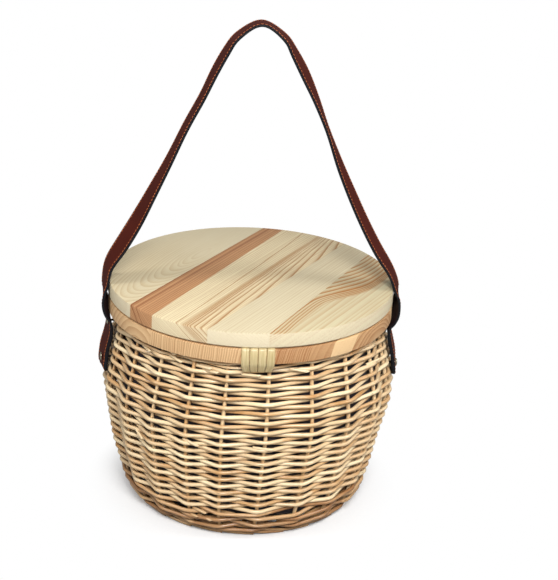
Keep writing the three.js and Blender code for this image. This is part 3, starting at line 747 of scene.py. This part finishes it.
def pine_material(name, pale, late, figure, dip=0, level=lid_top, sawn=0):
    """Pine from its pale colour, the late wood's colour, and figure(place), which gives how much
    late wood shows at a place. Fibres streak it along the grain. Sawn is the share by which the
    lid's edge shows cut pores in place of lines, in a paler colour that is partly painted light:
    it makes the edge read lighter than the top, as light falls on it."""
    material, tree = fresh_material(name)
    place = board_place(tree, dip, level)
    turned, _, _, up = place
    lines = figure(place)
    fibre = pattern("Noise", turned, (30, 900, 900), Detail=3)
    cloud = pattern("Noise", turned, (6, 30, 30), Detail=2)
    colour = mix(remap(lines + (fibre * 0.34 + cloud * 0.24 - 0.24), 0, 1), pale, late)
    if sawn:
        # Partly painted light: the edge takes a paler colour than the top, specked with cut pores.
        cut = remap(pattern("Noise", turned, 620, Detail=1), 0.4, 0.6, 0.7, 1)
        edge = between(up, lid_top - 0.0004, lid_top - 0.0014) * (cut * sawn)
        colour = mix(edge, colour, tint(229, 215, 184))
    coat(tree, colour, 0.5, fibre - lines, 0.12, 0.0004)
    return material


# Lid
# Five pine staves of unlike width and grain are glued edge to edge, sawn round and eased at the
# edges. The dark lines, the arches and the brown stave stand where the photograph shows them.
def stave_1_figure(place):
    """Faint ovals, much longer along the grain than across it, that fade to the far end."""
    ovals = ring_lines(place, 0.087, 0.0034, 1.9, arch=0.24, arch_at=0.03, depth=0.004)
    return ovals * (between(place[1], 0.09, -0.03) * 0.55)


def stave_2_figure(place):
    """Close fine lines on red-brown wood, with dark streaks beside the left joint."""
    joint, streak = abs(place[2] - 0.0692), abs(place[2] - 0.0608)
    dark = between(joint, 0.0022, 0.0002) + between(streak, 0.0012, 0.0003)
    return ring_lines(place, 0.3, 0.0031, 1.5) * 0.8 + dark * 0.6


def stave_3_figure(place):
    """Fine pale lines and one dark line on the left. On the right brown lines spread out from the
    far end: the line's number is the logarithm of its depth below their border, and the border's
    depth shrinks along the stave."""
    turned, along, across, _ = place
    fine = ring_lines(place, 0.4, 0.0031, 1.6) * 0.5
    share = (along + 0.17) / 0.335
    wander = drift(turned, (9, 30, 30))
    depth = share * 0.002 - 0.003 + wander * 0.005 - across
    rank = depth.calc("MAXIMUM", 0.0026) / (1 - share * 0.72)
    number = (rank / 0.0042).calc("LOGARITHM", np.e) / 0.31
    lines = late_wood(number, 3, 0.9) * between(depth, 0.003, 0.0045)
    brown = between(rank, 0.022, 0.008) * (share * 0.26 + 0.24)
    tan = between(depth, 0, 0.002) * (brown + 0.07 + lines * 1.2)
    bend = (along + 0.17) * 0.036 + share**4 * 0.005 + wander * 0.003
    dark = between(abs(across - (bend + 0.0012)), 0.0008, 0.0002)
    return fine.calc("MAXIMUM", tan).calc("MAXIMUM", dark * 0.9)


def stave_4_figure(place):
    """Plain pale wood with faint straight lines."""
    return ring_lines(place, 0.3, 0.0034, 1.8) * 0.42


def stave_5_figure(place):
    """Brown lines run beside the left joint, then turn away from it in a bowl. Each line's rank is
    the soft minimum of where it leaves the joint, moved back by its depth, and of the depth at
    which it levels out. Pale lines follow beyond the bowl."""
    turned, along, across, _ = place
    softness, bowl_softness, line_slope = 0.008, -0.016, 0.31
    depth = along * 0.0568 - 0.0921 - across + drift(turned, (8, 26, 26)) * 0.006
    lifted = ((along + 0.02) / softness).calc("EXPONENT")
    leaving = (lifted + 1).calc("LOGARITHM", np.e) * softness - 0.02 - depth * 1.8
    level = (0.036 - depth) / line_slope
    both = (leaving / bowl_softness).calc("EXPONENT") + (level / bowl_softness).calc("EXPONENT")
    rank = both.calc("LOGARITHM", np.e) * bowl_softness
    past = rank + 0.024
    number = past.calc("MINIMUM", 0) / 0.0072 + past.calc("MAXIMUM", 0) / 0.018
    lines = late_wood(40 - number, 1.8, 0.88)
    bowl = between(rank, -0.053, -0.048)
    close = between(rank, 0.02, -0.03) * between(along, -0.02, 0.03)
    strong = lines * 1.2 + (close * 0.22 + 0.05)
    pale = ring_lines(place, 0.3, 0.0062, 2) * 0.42
    return bowl * strong + (1 - bowl) * pale


stave_looks = [
    (tint(225, 211, 177), tint(190, 160, 106), stave_1_figure, 0.5, 0.75),
    (tint(207, 158, 112), tint(142, 84, 44), stave_2_figure, 0.7, 0),
    (tint(236, 222, 183), tint(166, 110, 50), stave_3_figure, 1.2, 0.2),
    (tint(220, 208, 176), tint(182, 148, 96), stave_4_figure, 0.8, 0.8),
    (tint(212, 202, 166), tint(172, 112, 48), stave_5_figure, -1.3, 0.72),
]
disc_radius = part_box("lid_stave_1")[1].y
lid_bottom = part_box("lid_stave_1")[0].z
joint_places = [0.0700, 0.0398, -0.0400, -0.0925]
joint_slants = [-0.008, 0.0316, -0.0153, 0.0568]
glue_line = 0.0001
edge_round = 0.0016
arc_points = 60


def joint_crossings(joint, radius, shift):
    """The angles from the grain at which a joint, moved across by a shift, meets a circle."""
    place, slant = joint_places[joint] + shift, joint_slants[joint]
    middle = -place * slant / (1 + slant**2)
    reach = np.sqrt(radius**2 * (1 + slant**2) - place**2) / (1 + slant**2)
    along = np.array([middle + reach, middle - reach])
    return np.arctan2(place + slant * along, along)


def stave_outline(number, radius):
    """A stave seen from above, clockwise: the circle's arc at its far end, then at its near end."""
    far_high = near_high = np.pi / 2
    far_low = near_low = -np.pi / 2
    if number > 0:
        far_high, near_high = joint_crossings(number - 1, radius, -glue_line / 2)
    if number < len(joint_places):
        far_low, near_low = joint_crossings(number, radius, glue_line / 2)
    near_low, near_high = near_low % (2 * np.pi), near_high % (2 * np.pi)
    far = np.linspace(far_high, far_low, arc_points)
    near = np.linspace(near_low, near_high, arc_points)
    angles = np.concatenate([far, near]) + grain_angle
    return np.stack([radius * np.cos(angles), radius * np.sin(angles)], 1)


edge_levels = [(edge_round, lid_top), (edge_round * 0.3, lid_top - edge_round * 0.3),
               (0, lid_top - edge_round), (0, lid_bottom + edge_round), (edge_round, lid_bottom)]
for number, (pale, late, figure, dip, sawn) in enumerate(stave_looks):
    grid = np.array([
        np.insert(stave_outline(number, disc_radius - inward), 2, height, axis=1)
        for inward, height in edge_levels])
    material = pine_material(f"pine_stave_{number + 1}", pale, late, figure, dip, sawn=sawn)
    slot = "red_pine" if number == 1 else "pine"
    part = (grid, np.linspace(0, 0.02, len(grid)), np.linspace(0, 1, 2 * arc_points + 1), 0)
    made = piece(f"lid_board_{number + 1}", [part], material, "lid", sharp=25)
    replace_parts(made, f"lid_stave_{number + 1}")

# Rim ring
# The ring is sawn from the same kind of board, with the grain the same way: sawn ends show at the
# front left and long grain at the sides. It rests on the stakes, with its corners eased.
ring_bottom, ring_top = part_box("rim_ring")[0].z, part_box("rim_ring")[1].z
ring_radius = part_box("rim_ring")[1].x
ring_band = 0.0285
ring_sections = [
    (0.2, 0.058, 0.36, 0.5, 0.0060, 0.05),
    (0.0372, 0.3, 0, 0.7, 0.0027, 0.0),
    (-0.0727, -0.4, 0, 0.5, 0.0026, 0.3),
    (-0.1064, -0.5, 0, 0.5, 0.0020, 0.5),
    (-0.1343, -0.3, 0, 0.2, 0.0050, 0.5),
    (-0.1503, -0.3, 0, 0.15, 0.0040, -0.14),
    (-0.1627, -0.4, 0, 0.5, 0.0024, 0.36),
    (-0.2,),
]


def ring_figure(place):
    """Stave by stave across the board: where each begins, the place of its core, how fast its
    lines close in arches, how strong and how far apart they are, and its own darkness."""
    across, total = place[2], 0.0
    for section, after in zip(ring_sections, ring_sections[1:]):
        high, core, arch, strength, spacing, base = section
        lines = ring_lines(place, core, spacing, 1.4, arch=arch, arch_at=-0.112, depth=0.05)
        inside = across.calc("LESS_THAN", high) * across.calc("GREATER_THAN", after[0])
        total = inside * (lines * strength + base) + total
    return total


def turned_piece(name, grid, across, material, body, sharp=80):
    """A closed piece from a grid of profiles, one for each direction round the upright axis."""
    rows, columns = grid.shape[:2]
    part = (np.concatenate([grid, grid[:1]]), np.linspace(0, 1, rows + 1),
            np.linspace(0, across, columns + 1), 0)
    return piece(name, [part], material, body, capped=False, sharp=sharp)


ring_material = pine_material(
    "pine_ring", tint(231, 195, 146), tint(156, 96, 48), ring_figure, -0.16, 0.246)
profile = np.array([
    (-ring_band, 0.0005), (-ring_band + 0.0005, 0), (-0.0005, 0), (0, 0.0005),
    (0, 0.0164), (-0.0005, 0.0175), (-0.0016, 0.018), (-ring_band + 0.0016, 0.018),
    (-ring_band + 0.0005, 0.0175), (-ring_band, 0.0164),
])
radius, height = profile.T[:, None]
grid = around(ring_radius + radius, full_turn(180)[:, None], ring_bottom + height)
made = turned_piece("rim_ring_board", grid[:, ::-1], 0.1, ring_material, "basket", 25)
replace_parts(made, "rim_ring")

# Cane lashings
# Flat cane is wound round the ring and the rim wale, four turns side by side. It is pulled in a
# little under the ring, where the turns draw together.
cane_width, cane_thickness, cane_gap = 0.009, 0.0012, 0.0005
cane_material, tree = fresh_material("flat_cane")
uv = put(tree, "UVMap").outputs[0]
fibre = pattern("Noise", uv, (40, 1500, 1), Detail=3)
share = remap(fibre * 0.6 + pattern("Noise", uv, (25, 260, 1), Detail=2) * 0.5, 0.35, 0.75)
coat(tree, mix(share, tint(176, 154, 100), tint(228, 210, 164)), 0.35, fibre, 0.3, 0.0003)

wall_radius = wall_at(rim_start)[0]
rod_reach = stake_thickness / 2 + touching_gap + upper_rod
ring_inner = ring_radius - ring_band
half_cane = cane_thickness / 2
lashing_half = 2 * cane_width + 1.5 * cane_gap
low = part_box("cane_lashing_front")[0].z + half_cane
high = ring_top + touching_gap + half_cane
shelf = ring_bottom - touching_gap - half_cane


def carried(path, section, across, outward):
    """A section carried along a path: each of its points stands off by its first number times
    across and its second times outward. The directions are as long as the section's sizes."""
    sideways, raised = section[..., :1], section[..., 1:]
    return path[:, None] + sideways * across[:, None] + raised * outward[:, None]


drawn_together, pinch_share, front_turn = 0.13, 0.87, np.radians(1.2)
longest_pull, pull_share = 0.0016, 0.3
flat = np.array([1.0, 0, 0])
section = np.array([(-1, 0), (-0.93, -0.75), (-0.6, -1), (0.6, -1), (0.93, -0.75), (1, 0),
                    (0.93, 0.75), (0.6, 1), (-0.6, 1), (-0.93, 0.75)])
for side, gap_number in lashing_gap_numbers.items():
    route = []
    for turn in range(4):
        across = (turn - 1.5) * (cane_width + cane_gap)
        near = max(0, abs(across) - cane_width / 2)
        out = np.sqrt((ring_radius + touching_gap) ** 2 - near**2) + half_cane
        wall_out = np.sqrt((wall_radius + rod_reach + touching_gap) ** 2 - near**2)
        wall_in, ring_in = (
            np.sqrt((inside - touching_gap) ** 2 - lashing_half**2) - half_cane
            for inside in (wall_radius - rod_reach, ring_inner))
        pinch = across * pinch_share
        route += [
            (across, ring_in, high), (across, out, high), (across, out, ring_bottom - 0.001),
            (pinch, wall_out + half_cane, low + 2 * cane_thickness),
            (pinch, wall_out - half_cane, low), (pinch, wall_in, low),
            (across, wall_in, shelf), (across, ring_in, shelf),
        ]
    route = np.array(route)
    corners = np.repeat(route, 2, 0)
    step = np.diff(route, axis=0)
    step_lengths = np.linalg.norm(step, axis=1)
    pull = unit(step) * np.minimum(longest_pull, step_lengths * pull_share)[:, None]
    corners[2::2] -= pull
    corners[1:-1:2] += pull
    path = corners * [1, -1, 1]
    ahead = unit(np.gradient(path, axis=0) * [0, 1, 1])
    width = cane_width * (1 - drawn_together * smooth_share(ring_bottom - path[:, 2], 0, 0.01))
    grid = carried(path, section, flat * width[:, None] / 2, np.cross(ahead, flat) * half_cane)
    turn_angle = -np.pi + gap_number * gap_angle + (front_turn if side == "front" else 0)
    spin = np.array([[np.cos(turn_angle), -np.sin(turn_angle), 0],
                     [np.sin(turn_angle), np.cos(turn_angle), 0], [0, 0, 1]])
    across_places = np.append(section[:, 0], section[0, 0]) * cane_width / 2
    made = piece(f"cane_{side}_turns", [(grid @ spin.T, path_lengths(path), across_places, 0)],
                 cane_material, "basket")
    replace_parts(made, f"cane_lashing_{side}")

# Lining
# A cup of padded, foil-backed cloth keeps food cool. Its satin side shows through the gaps between
# the rods. It is sewn from panels, so that it puckers a little along its seams.
cloth_material, tree = fresh_material("lining_cloth")
spot = object_place(tree)
# Painted shade and sheen: the cloth is kept dark, partly as painted shade in the gaps between the
# rods, and its colour follows its relief, darker in the creases and lighter on the folds.
crease_and_shade = pattern("Noise", spot, 38, Detail=3, Distortion=0.6)
relief = crease_and_shade + pattern("Noise", spot, 1400, Detail=1) * 0.05
coat(tree, mix(crease_and_shade, tint(30, 29, 38), tint(74, 74, 92)), 0.34, relief, 0.6, 0.003,
     **{"Sheen Weight": 0.15})

lining_low, lining_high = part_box("lining_wall")[0].z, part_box("lining_wall")[1].z
lining_in = rod_reach + 5 * touching_gap + 0.003
lining_thickness = 0.004
neck_radius = ring_inner - 0.0033
shoulder = shelf - half_cane - touching_gap
heights = np.linspace(lining_low + 0.004, shoulder - 0.004, 40)
side_radius = wall_at(length_at(heights))[0] - lining_in
foot_radius, top_radius = side_radius[0], side_radius[-1]
profile = np.concatenate([
    [(foot_radius - 0.004, lining_low), (foot_radius - 0.001, lining_low + 0.0012)],
    np.stack([side_radius, heights], 1),
    [(top_radius - 0.0012, shoulder - 0.0012), (top_radius - 0.004, shoulder),
     (neck_radius + 0.001, shoulder), (neck_radius, shoulder + 0.002),
     (neck_radius, lining_high - 0.0015), (neck_radius - 0.0012, lining_high),
     (neck_radius - 0.0028, lining_high), (neck_radius - 0.004, lining_high - 0.0015),
     (neck_radius - 0.004, shoulder - 0.003), (top_radius - 0.006, shoulder - 0.0042)],
    np.stack([side_radius - lining_thickness, heights], 1)[::-1],
    [(foot_radius - 0.0075, lining_low + 0.003), (foot_radius - 0.0075, lining_low + 0.0005)],
])
turns = full_turn(240)[:, None]
radius, height = profile.T[:, None]
pucker = 0.0011 * (np.abs(np.sin(turns * 4)) ** 0.5 - 1) + 0.0004 * np.sin(turns * 37 + 1)
ripple = 0.0006 * np.sin(turns * 23 + height * 260)
grid = around(radius + np.minimum(0, pucker + ripple - 0.0004), turns, height)
made = turned_piece("lining_side", grid, 0.5, cloth_material, "basket")
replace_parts(made, "lining_wall")

floor_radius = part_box("lining_floor")[1].x
floor_low, floor_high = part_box("lining_floor")[0].z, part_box("lining_floor")[1].z
quilt_depth = 0.0006
share = np.linspace(0, 1, 30)
profile = np.concatenate([
    np.stack([floor_radius * share, floor_high - 0.0010 * share**6], 1),
    [(floor_radius, floor_low + 0.001), (floor_radius - 0.001, floor_low),
     (floor_radius * 0.5, floor_low), (0, floor_low)],
])
radius, height = profile.T[:, None]
quilt = quilt_depth * (np.sin(radius * 250) * np.cos(turns * 6) - 1)
quilted = (height > floor_low + 0.002) & (radius < floor_radius * 0.95)
grid = around(radius, turns, height + np.where(quilted, quilt, 0))
made = turned_piece("lining_base", grid[:, ::-1], 0.3, cloth_material, "basket")
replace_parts(made, "lining_floor")


# Lid pad
# A disc of the same padded cloth is fixed under the lid, so that the lid fills the ring's mouth.
# It is stuffed, sewn through in two rings, and has a welt round its seam.
def applied(made):
    """Turns what an object's modifiers make of it into its own mesh, and gives the points."""
    graph = bpy.context.evaluated_depsgraph_get()
    mesh = bpy.data.meshes.new_from_object(made.evaluated_get(graph))
    made.modifiers.clear()
    made.data = mesh
    places = np.empty(len(mesh.vertices) * 3, np.float32)
    mesh.vertices.foreach_get("co", places)
    return places.reshape(-1, 3)


def swell(made, voxel, pressure, cap):
    """Blows a closed cushion up as cloth: an even remesh, 20 frames under pressure with no gravity,
    each point moved by no more than the cap, then smoothed and divided once. Gives its points."""
    even_mesh = made.modifiers.new("even", "REMESH")
    even_mesh.mode = "VOXEL"
    even_mesh.voxel_size = voxel
    start = applied(made)
    cloth = made.modifiers.new("cloth", "CLOTH")
    cloth.settings.use_pressure = True
    cloth.settings.uniform_pressure_force = pressure
    cloth.settings.effector_weights.gravity = 0
    cloth.settings.tension_stiffness = 8
    cloth.settings.bending_stiffness = 0.4
    for step in range(1, 21):
        bpy.context.scene.frame_set(step)
    blown = applied(made)
    bpy.context.scene.frame_set(1)
    far = np.linalg.norm(blown - start, axis=1)[:, None]
    capped = start + (blown - start) * np.minimum(1, cap / np.maximum(far, 1e-9))
    made.data.vertices.foreach_set("co", capped.astype(np.float32).ravel())
    smooth = made.modifiers.new("smooth", "SMOOTH")
    smooth.factor, smooth.iterations = 0.6, 8
    finer = made.modifiers.new("finer", "SUBSURF")
    finer.levels = finer.render_levels = 1
    return applied(made)


pad_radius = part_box("lid_pad")[1].x
pad_low, pad_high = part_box("lid_pad")[0].z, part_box("lid_pad")[1].z
seam_height = (pad_low + pad_high) / 2
blunt, sector_count = 0.0026, 72
channel_radii, channel_width, channel_depth = [0.045, 0.09], 0.0042, 0.0026
share = np.linspace(0, 1, 40)
flat_radius = (pad_radius - 0.004) * share
under = pad_low + 0.002 + (seam_height - blunt - pad_low - 0.002) * share**14
over = pad_high - (pad_high - seam_height - blunt) * share**14
radius, height = np.append(flat_radius, flat_radius[::-1]), np.append(under, over[::-1])
grid = around(radius, turns, height)
made = turned_piece("lid_cushion", grid, 0.3, cloth_material, "lid")
points = swell(made, 0.004, 4, 0.006)
radius = np.hypot(points[:, 0], points[:, 1])
direction = np.arctan2(points[:, 1], points[:, 0])
sectors = np.linspace(-np.pi, np.pi, sector_count + 1)
reach = np.zeros(sector_count)
sector = np.clip(np.digitize(direction, sectors) - 1, 0, sector_count - 1)
np.maximum.at(reach, sector, radius)
reach = np.interp(direction, sectors[:-1] + np.pi / sector_count, reach, period=2 * np.pi)
stretch = (pad_radius - 0.0012) / reach
most = (pad_radius - 0.0005) / np.maximum(radius, 1e-6)
points[:, :2] *= np.minimum(stretch, most)[:, None]
radius = np.hypot(points[:, 0], points[:, 1])
raised = points[:, 2] - seam_height
points[:, 2] = seam_height + raised * (seam_height - pad_low - 0.0003) / np.abs(raised).max()
channels = np.exp(-((radius[:, None] - [channel_radii]) / channel_width) ** 2).sum(1)
points[:, 2] += channel_depth * channels * (points[:, 2] < seam_height)
made.data.vertices.foreach_set("co", points.astype(np.float32).ravel())
made.data.polygons.foreach_set("use_smooth", np.ones(len(made.data.polygons), bool))
if not made.data.materials:
    made.data.materials.append(cloth_material)
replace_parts(made, "lid_pad")

welt_thickness = 0.0034
path = around(pad_radius - welt_thickness / 2, np.linspace(0, 2 * np.pi, 161), seam_height)
part = rod(path, welt_thickness, 0)
part[0][[0, -1]] = (part[0][0] + part[0][-1]) / 2
piece("lid_cushion_welt", [part], cloth_material, "lid", capped=False, sharp=80)

# Strap
# One strip of red-brown leather, with painted black edges and a row of orange stitching along
# each, runs up from the wall, arches high over the lid and comes down the other side.
strap_width, strap_thickness, strap_rise = 0.032, 0.003, 0.3615
arch_low, arch_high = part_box("strap_arch")
pivot_y = (arch_low.y + arch_high.y) / 2
strap_left = np.array([
    (-171.6, 158.5, 12), (-175.2, 168, 15), (-174.6, 178, 16), (-173.3, 190, 15), (-170.4, 202, 14),
    (-167.8, 214, 13), (-167.2, 226, 9), (-168.8, 233, -4), (-171, 242, -9), (-172.9, 252, -5),
    (-173.6, 263, 6), (-172, 274, 14), (-168.2, 295, 16), (-153.3, 320, 21.5), (-136.5, 350, 20.5),
    (-119.2, 385, 14.7), (-100, 425, 8.7), (-82.3, 465, 6.1), (-64.6, 500, 5.8), (-51.4, 530, 7.6),
    (-38.4, 555, 6.5), (-26.6, 572, 2),
])
strap_top = (-0.6, 587.6, -3)
strap_right = np.array([
    (25.2, 572, 3), (36.4, 555, 10), (50.4, 530, 13.6), (64.8, 500, 8.6), (79.2, 465, 4),
    (95.1, 425, 10.6), (113.3, 385, 14.8), (130.5, 350, 15.7), (147.1, 320, 15.3), (163.2, 295, 12),
    (171.5, 274, 11), (173.2, 263, -2), (173.2, 252, -7), (172.2, 242, -8), (169, 233, -5),
    (165.4, 226, 0), (168, 214, 5.7), (171, 202, 7), (173.8, 190, 7), (175.3, 178, 6),
    (175.3, 170, 3), (174.6, 163.5, 1),
])


def read_off(places, run, values):
    """The points or directions at places along a run, each coordinate between its neighbours'."""
    return np.stack([np.interp(places, run, values[:, axis]) for axis in range(3)], -1)


def round_off(share, least):
    """How wide a strip with a round end is: the circle's height at a share of its radius."""
    return np.sqrt(np.maximum(1 - np.maximum(0, share) ** 2, least))


marks = np.concatenate([strap_left, [strap_top], strap_right])
curve = smooth_through(marks, 14) * [0.001, 0.001, 1]
line = soften(np.stack([curve[:, 0], np.full(len(curve), pivot_y), curve[:, 1]], 1), 6)
run = path_lengths(line)
even = np.linspace(0, run[-1], 560)
twist = np.radians(np.interp(even, run, curve[:, 2]))[:, None]
line = read_off(even, run, line)
ahead = unit(np.gradient(line, axis=0))
broad = np.array([0.0, 1, 0])
across_dir = np.cos(twist) * broad + np.sin(twist) * np.cross(ahead, broad)
normal = np.cross(ahead, across_dir)
# Partly painted shade: near each end the back layer is thickened, a doubled end whose black painted
# edges also fill the shade in the gap between strap and wall.
doubled_shade_length, doubled_shade_more, round_length = 0.07, 1.1, 0.009
from_end = np.minimum(even, even[-1] - even)
doubled = 1 + doubled_shade_more * smooth_share(doubled_shade_length - from_end, 0, 0.02)
narrowing = round_off(1 - from_end / round_length, 0.08)
section = np.array([
    (-0.488, -0.42), (-0.465, -0.5), (-0.2, -0.5), (0, -0.5), (0.2, -0.5), (0.465, -0.5),
    (0.488, -0.42), (0.5, -0.18), (0.5, 0.18), (0.488, 0.42), (0.465, 0.5), (0.43, 0.5),
    (0.41, 0.44), (0.39, 0.5), (0.2, 0.52), (0, 0.53), (-0.2, 0.52), (-0.39, 0.5),
    (-0.41, 0.44), (-0.43, 0.5), (-0.465, 0.5), (-0.488, 0.42), (-0.5, 0.18), (-0.5, -0.18),
])
layered = np.tile(section, (len(line), 1, 1))
layered[..., 1] *= np.where(section[:, 1] < 0, doubled[:, None], 1)
grid = carried(line, layered, across_dir * narrowing[:, None] * strap_width,
               normal * strap_thickness)
edge_paint, painted_from = tint(22, 23, 28), 0.0149
leather, tree = fresh_material("strap_leather")
spot = object_place(tree)
pore = pattern("Voronoi", spot, 900)
cloud = pattern("Noise", spot, 26, Detail=4)
edge = abs(uv_part(tree, 1)).calc("GREATER_THAN", painted_from)
back = NodeValue(put(tree, "Attribute", attribute_name="leather_back").outputs["Fac"])
colour = mix(cloud, tint(62, 17, 7), tint(88, 28, 12))
colour = mix(edge.calc("MAXIMUM", back * 0.86), colour, edge_paint)
coat(tree, colour, 0.55, pore * 0.5 + cloud, 0.25, 0.0004, **{"Specular IOR Level": 0.16})
across_places = np.append(section[:, 0], section[0, 0]) * strap_width
strap = piece("strap_leather_strip", [(grid, even, across_places, 0)], leather, None)
back_layer = strap.data.attributes.new("leather_back", "FLOAT", "POINT")
back_layer.data.foreach_set("value", np.tile((section[:, 1] < -0.15).astype(np.float32), len(even)))
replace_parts(strap, "strap_arch", "strap_end_left", "strap_end_right")
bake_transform(strap)

thread, tree = fresh_material("stitching_thread")
twine = pattern("Noise", object_place(tree), 600, Detail=2)
coat(tree, mix(twine, tint(150, 76, 40), tint(206, 122, 66)), 0.6)
stitch_pitch, stitch_length, stitch_thickness = 0.0042, 0.0031, 0.0008
stitch_place, end_margin = 0.41 * strap_width, 0.006
stitches = np.arange(end_margin, even[-1] - end_margin, stitch_pitch)
bow = np.linspace(-1, 1, 5)
places = stitches[:, None] + bow[None] * stitch_length / 2
broad_at = read_off(places, even, across_dir)
height = (strap_thickness * 0.5 + 0.00012 - 0.0004 * bow**4)[None, :, None]
middle = read_off(places, even, line) + read_off(places, even, normal) * height
parts = [
    rod(middle[row] + broad_at[row] * side * stitch_place, stitch_thickness * (1.05 - 0.5 * bow**4),
        0.5, broad_at[row], 5)
    for side in (-1, 1) for row in range(len(stitches))
]
stitching = piece("strap_stitching", parts, thread, None)
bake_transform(stitching)

# Strap backings
# Inside the wall a short strip of the same leather lies under the rivets' tails, so that they
# don't pull through the weave.
backing_width, backing_thickness, backing_out = 0.0196, 0.0018, 0.0013
end = np.linspace(-1, 1, 24)
round_end = round_off((np.abs(end) - 0.72) / 0.28, 0.02)
corners = np.array([(-0.5, -0.35), (-0.46, 0.5), (0, 0.55), (0.46, 0.5), (0.5, -0.35), (0, -0.5)])
strap_angles = {side: -np.pi + gap * gap_angle for side, gap in strap_gap_numbers.items()}
for side, backing_angle in strap_angles.items():
    low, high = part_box(f"strap_backing_{side}")
    heights = np.linspace(low.z, high.z, 24)
    face = wall_at(length_at(heights))[0] - rod_reach - touching_gap - backing_out
    centre = around(face, backing_angle, heights)
    sideways = np.array([np.cos(backing_angle), np.sin(backing_angle), 0])
    out = np.cross(sideways, unit(np.gradient(centre, axis=0)))
    grid = carried(centre, corners, sideways * backing_width * round_end[:, None],
                   out * backing_thickness)
    made = piece(f"strap_backing_{side}_strip",
                 [(grid, heights, np.linspace(-0.01, 0.01, 7), 0)], leather, "basket")
    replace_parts(made, f"strap_backing_{side}")

# Rivets
# Four domed rivets hold the strap: one just under the rim on each side, on which it turns, and
# one lower down. The heads are bright. The shanks are rougher and painted dark, painted shade
# where they bridge the gap between strap and wall, and each tail is hammered over inside.
head_radius, shank_radius, tail_radius, dome_height = 0.005, 0.0013, 0.004, 0.0018
shaded_shank_mark = -0.01
metal, tree = fresh_material("bright_brass")
wear = pattern("Noise", object_place(tree), 500, Detail=3)
# Painted shade: the shank, short of the mark, takes a dark colour.
shank = uv_part(tree, 0).calc("LESS_THAN", shaded_shank_mark / 2)
colour = mix(shank, mix(wear, tint(176, 166, 136), tint(226, 220, 200)), tint(58, 50, 38))
coat(tree, colour, remap(wear, 0, 1, 0.16, 0.34) + shank * 0.5, Metallic=1)
dome = np.linspace(0, np.pi / 2, 9)
turn = full_turn(28)[:, None]
for level_name in ("upper", "lower"):
    for side, angle in strap_angles.items():
        node = f"{level_name}_rivet_{side}"
        low, high = (np.array(corner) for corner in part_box(node))
        height = (low[2] + high[2]) / 2
        half = slice(0, 200) if side == "left" else slice(-200, None)
        nearest = np.argmin(np.abs(line[half][:, 2] - height))
        head = line[half][nearest] + normal[half][nearest] * (strap_thickness / 2 + 0.0001)
        outward = 1 if side == "right" else -1
        if level_name == "upper":
            tail = np.array([outward * min(abs(low[0]), abs(high[0])), pivot_y, height])
        else:
            tail = around(wall_at(length_at(height))[0] - rod_reach - 0.0042, angle, height)
        length = np.linalg.norm(head - tail)
        axis = (head - tail) / length
        side_dir = unit(np.cross([0, 0, 1], axis))
        up_dir = np.cross(axis, side_dir)
        shape = [(0, 0), (tail_radius - 0.001, 0), (tail_radius, 0.0004), (tail_radius, 0.001),
                 (shank_radius, 0.001), (shank_radius, length), (head_radius, length)]
        shape += [(head_radius * np.cos(step), length + 0.0004 + dome_height * np.sin(step))
                  for step in dome]
        shape = np.array(shape)
        ring = np.cos(turn) * side_dir + np.sin(turn) * up_dir
        grid = tail + shape[:, None, 1:] * axis + shape[:, None, :1] * ring[None]
        marks_along = np.where(shape[:, 0] == shank_radius, shaded_shank_mark, shape[:, 1])
        made = piece(f"{node}_dome", [(grid, marks_along, np.linspace(0, 0.03, 29), 0)],
                     metal, "basket", capped=False, sharp=40)
        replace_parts(made, node)
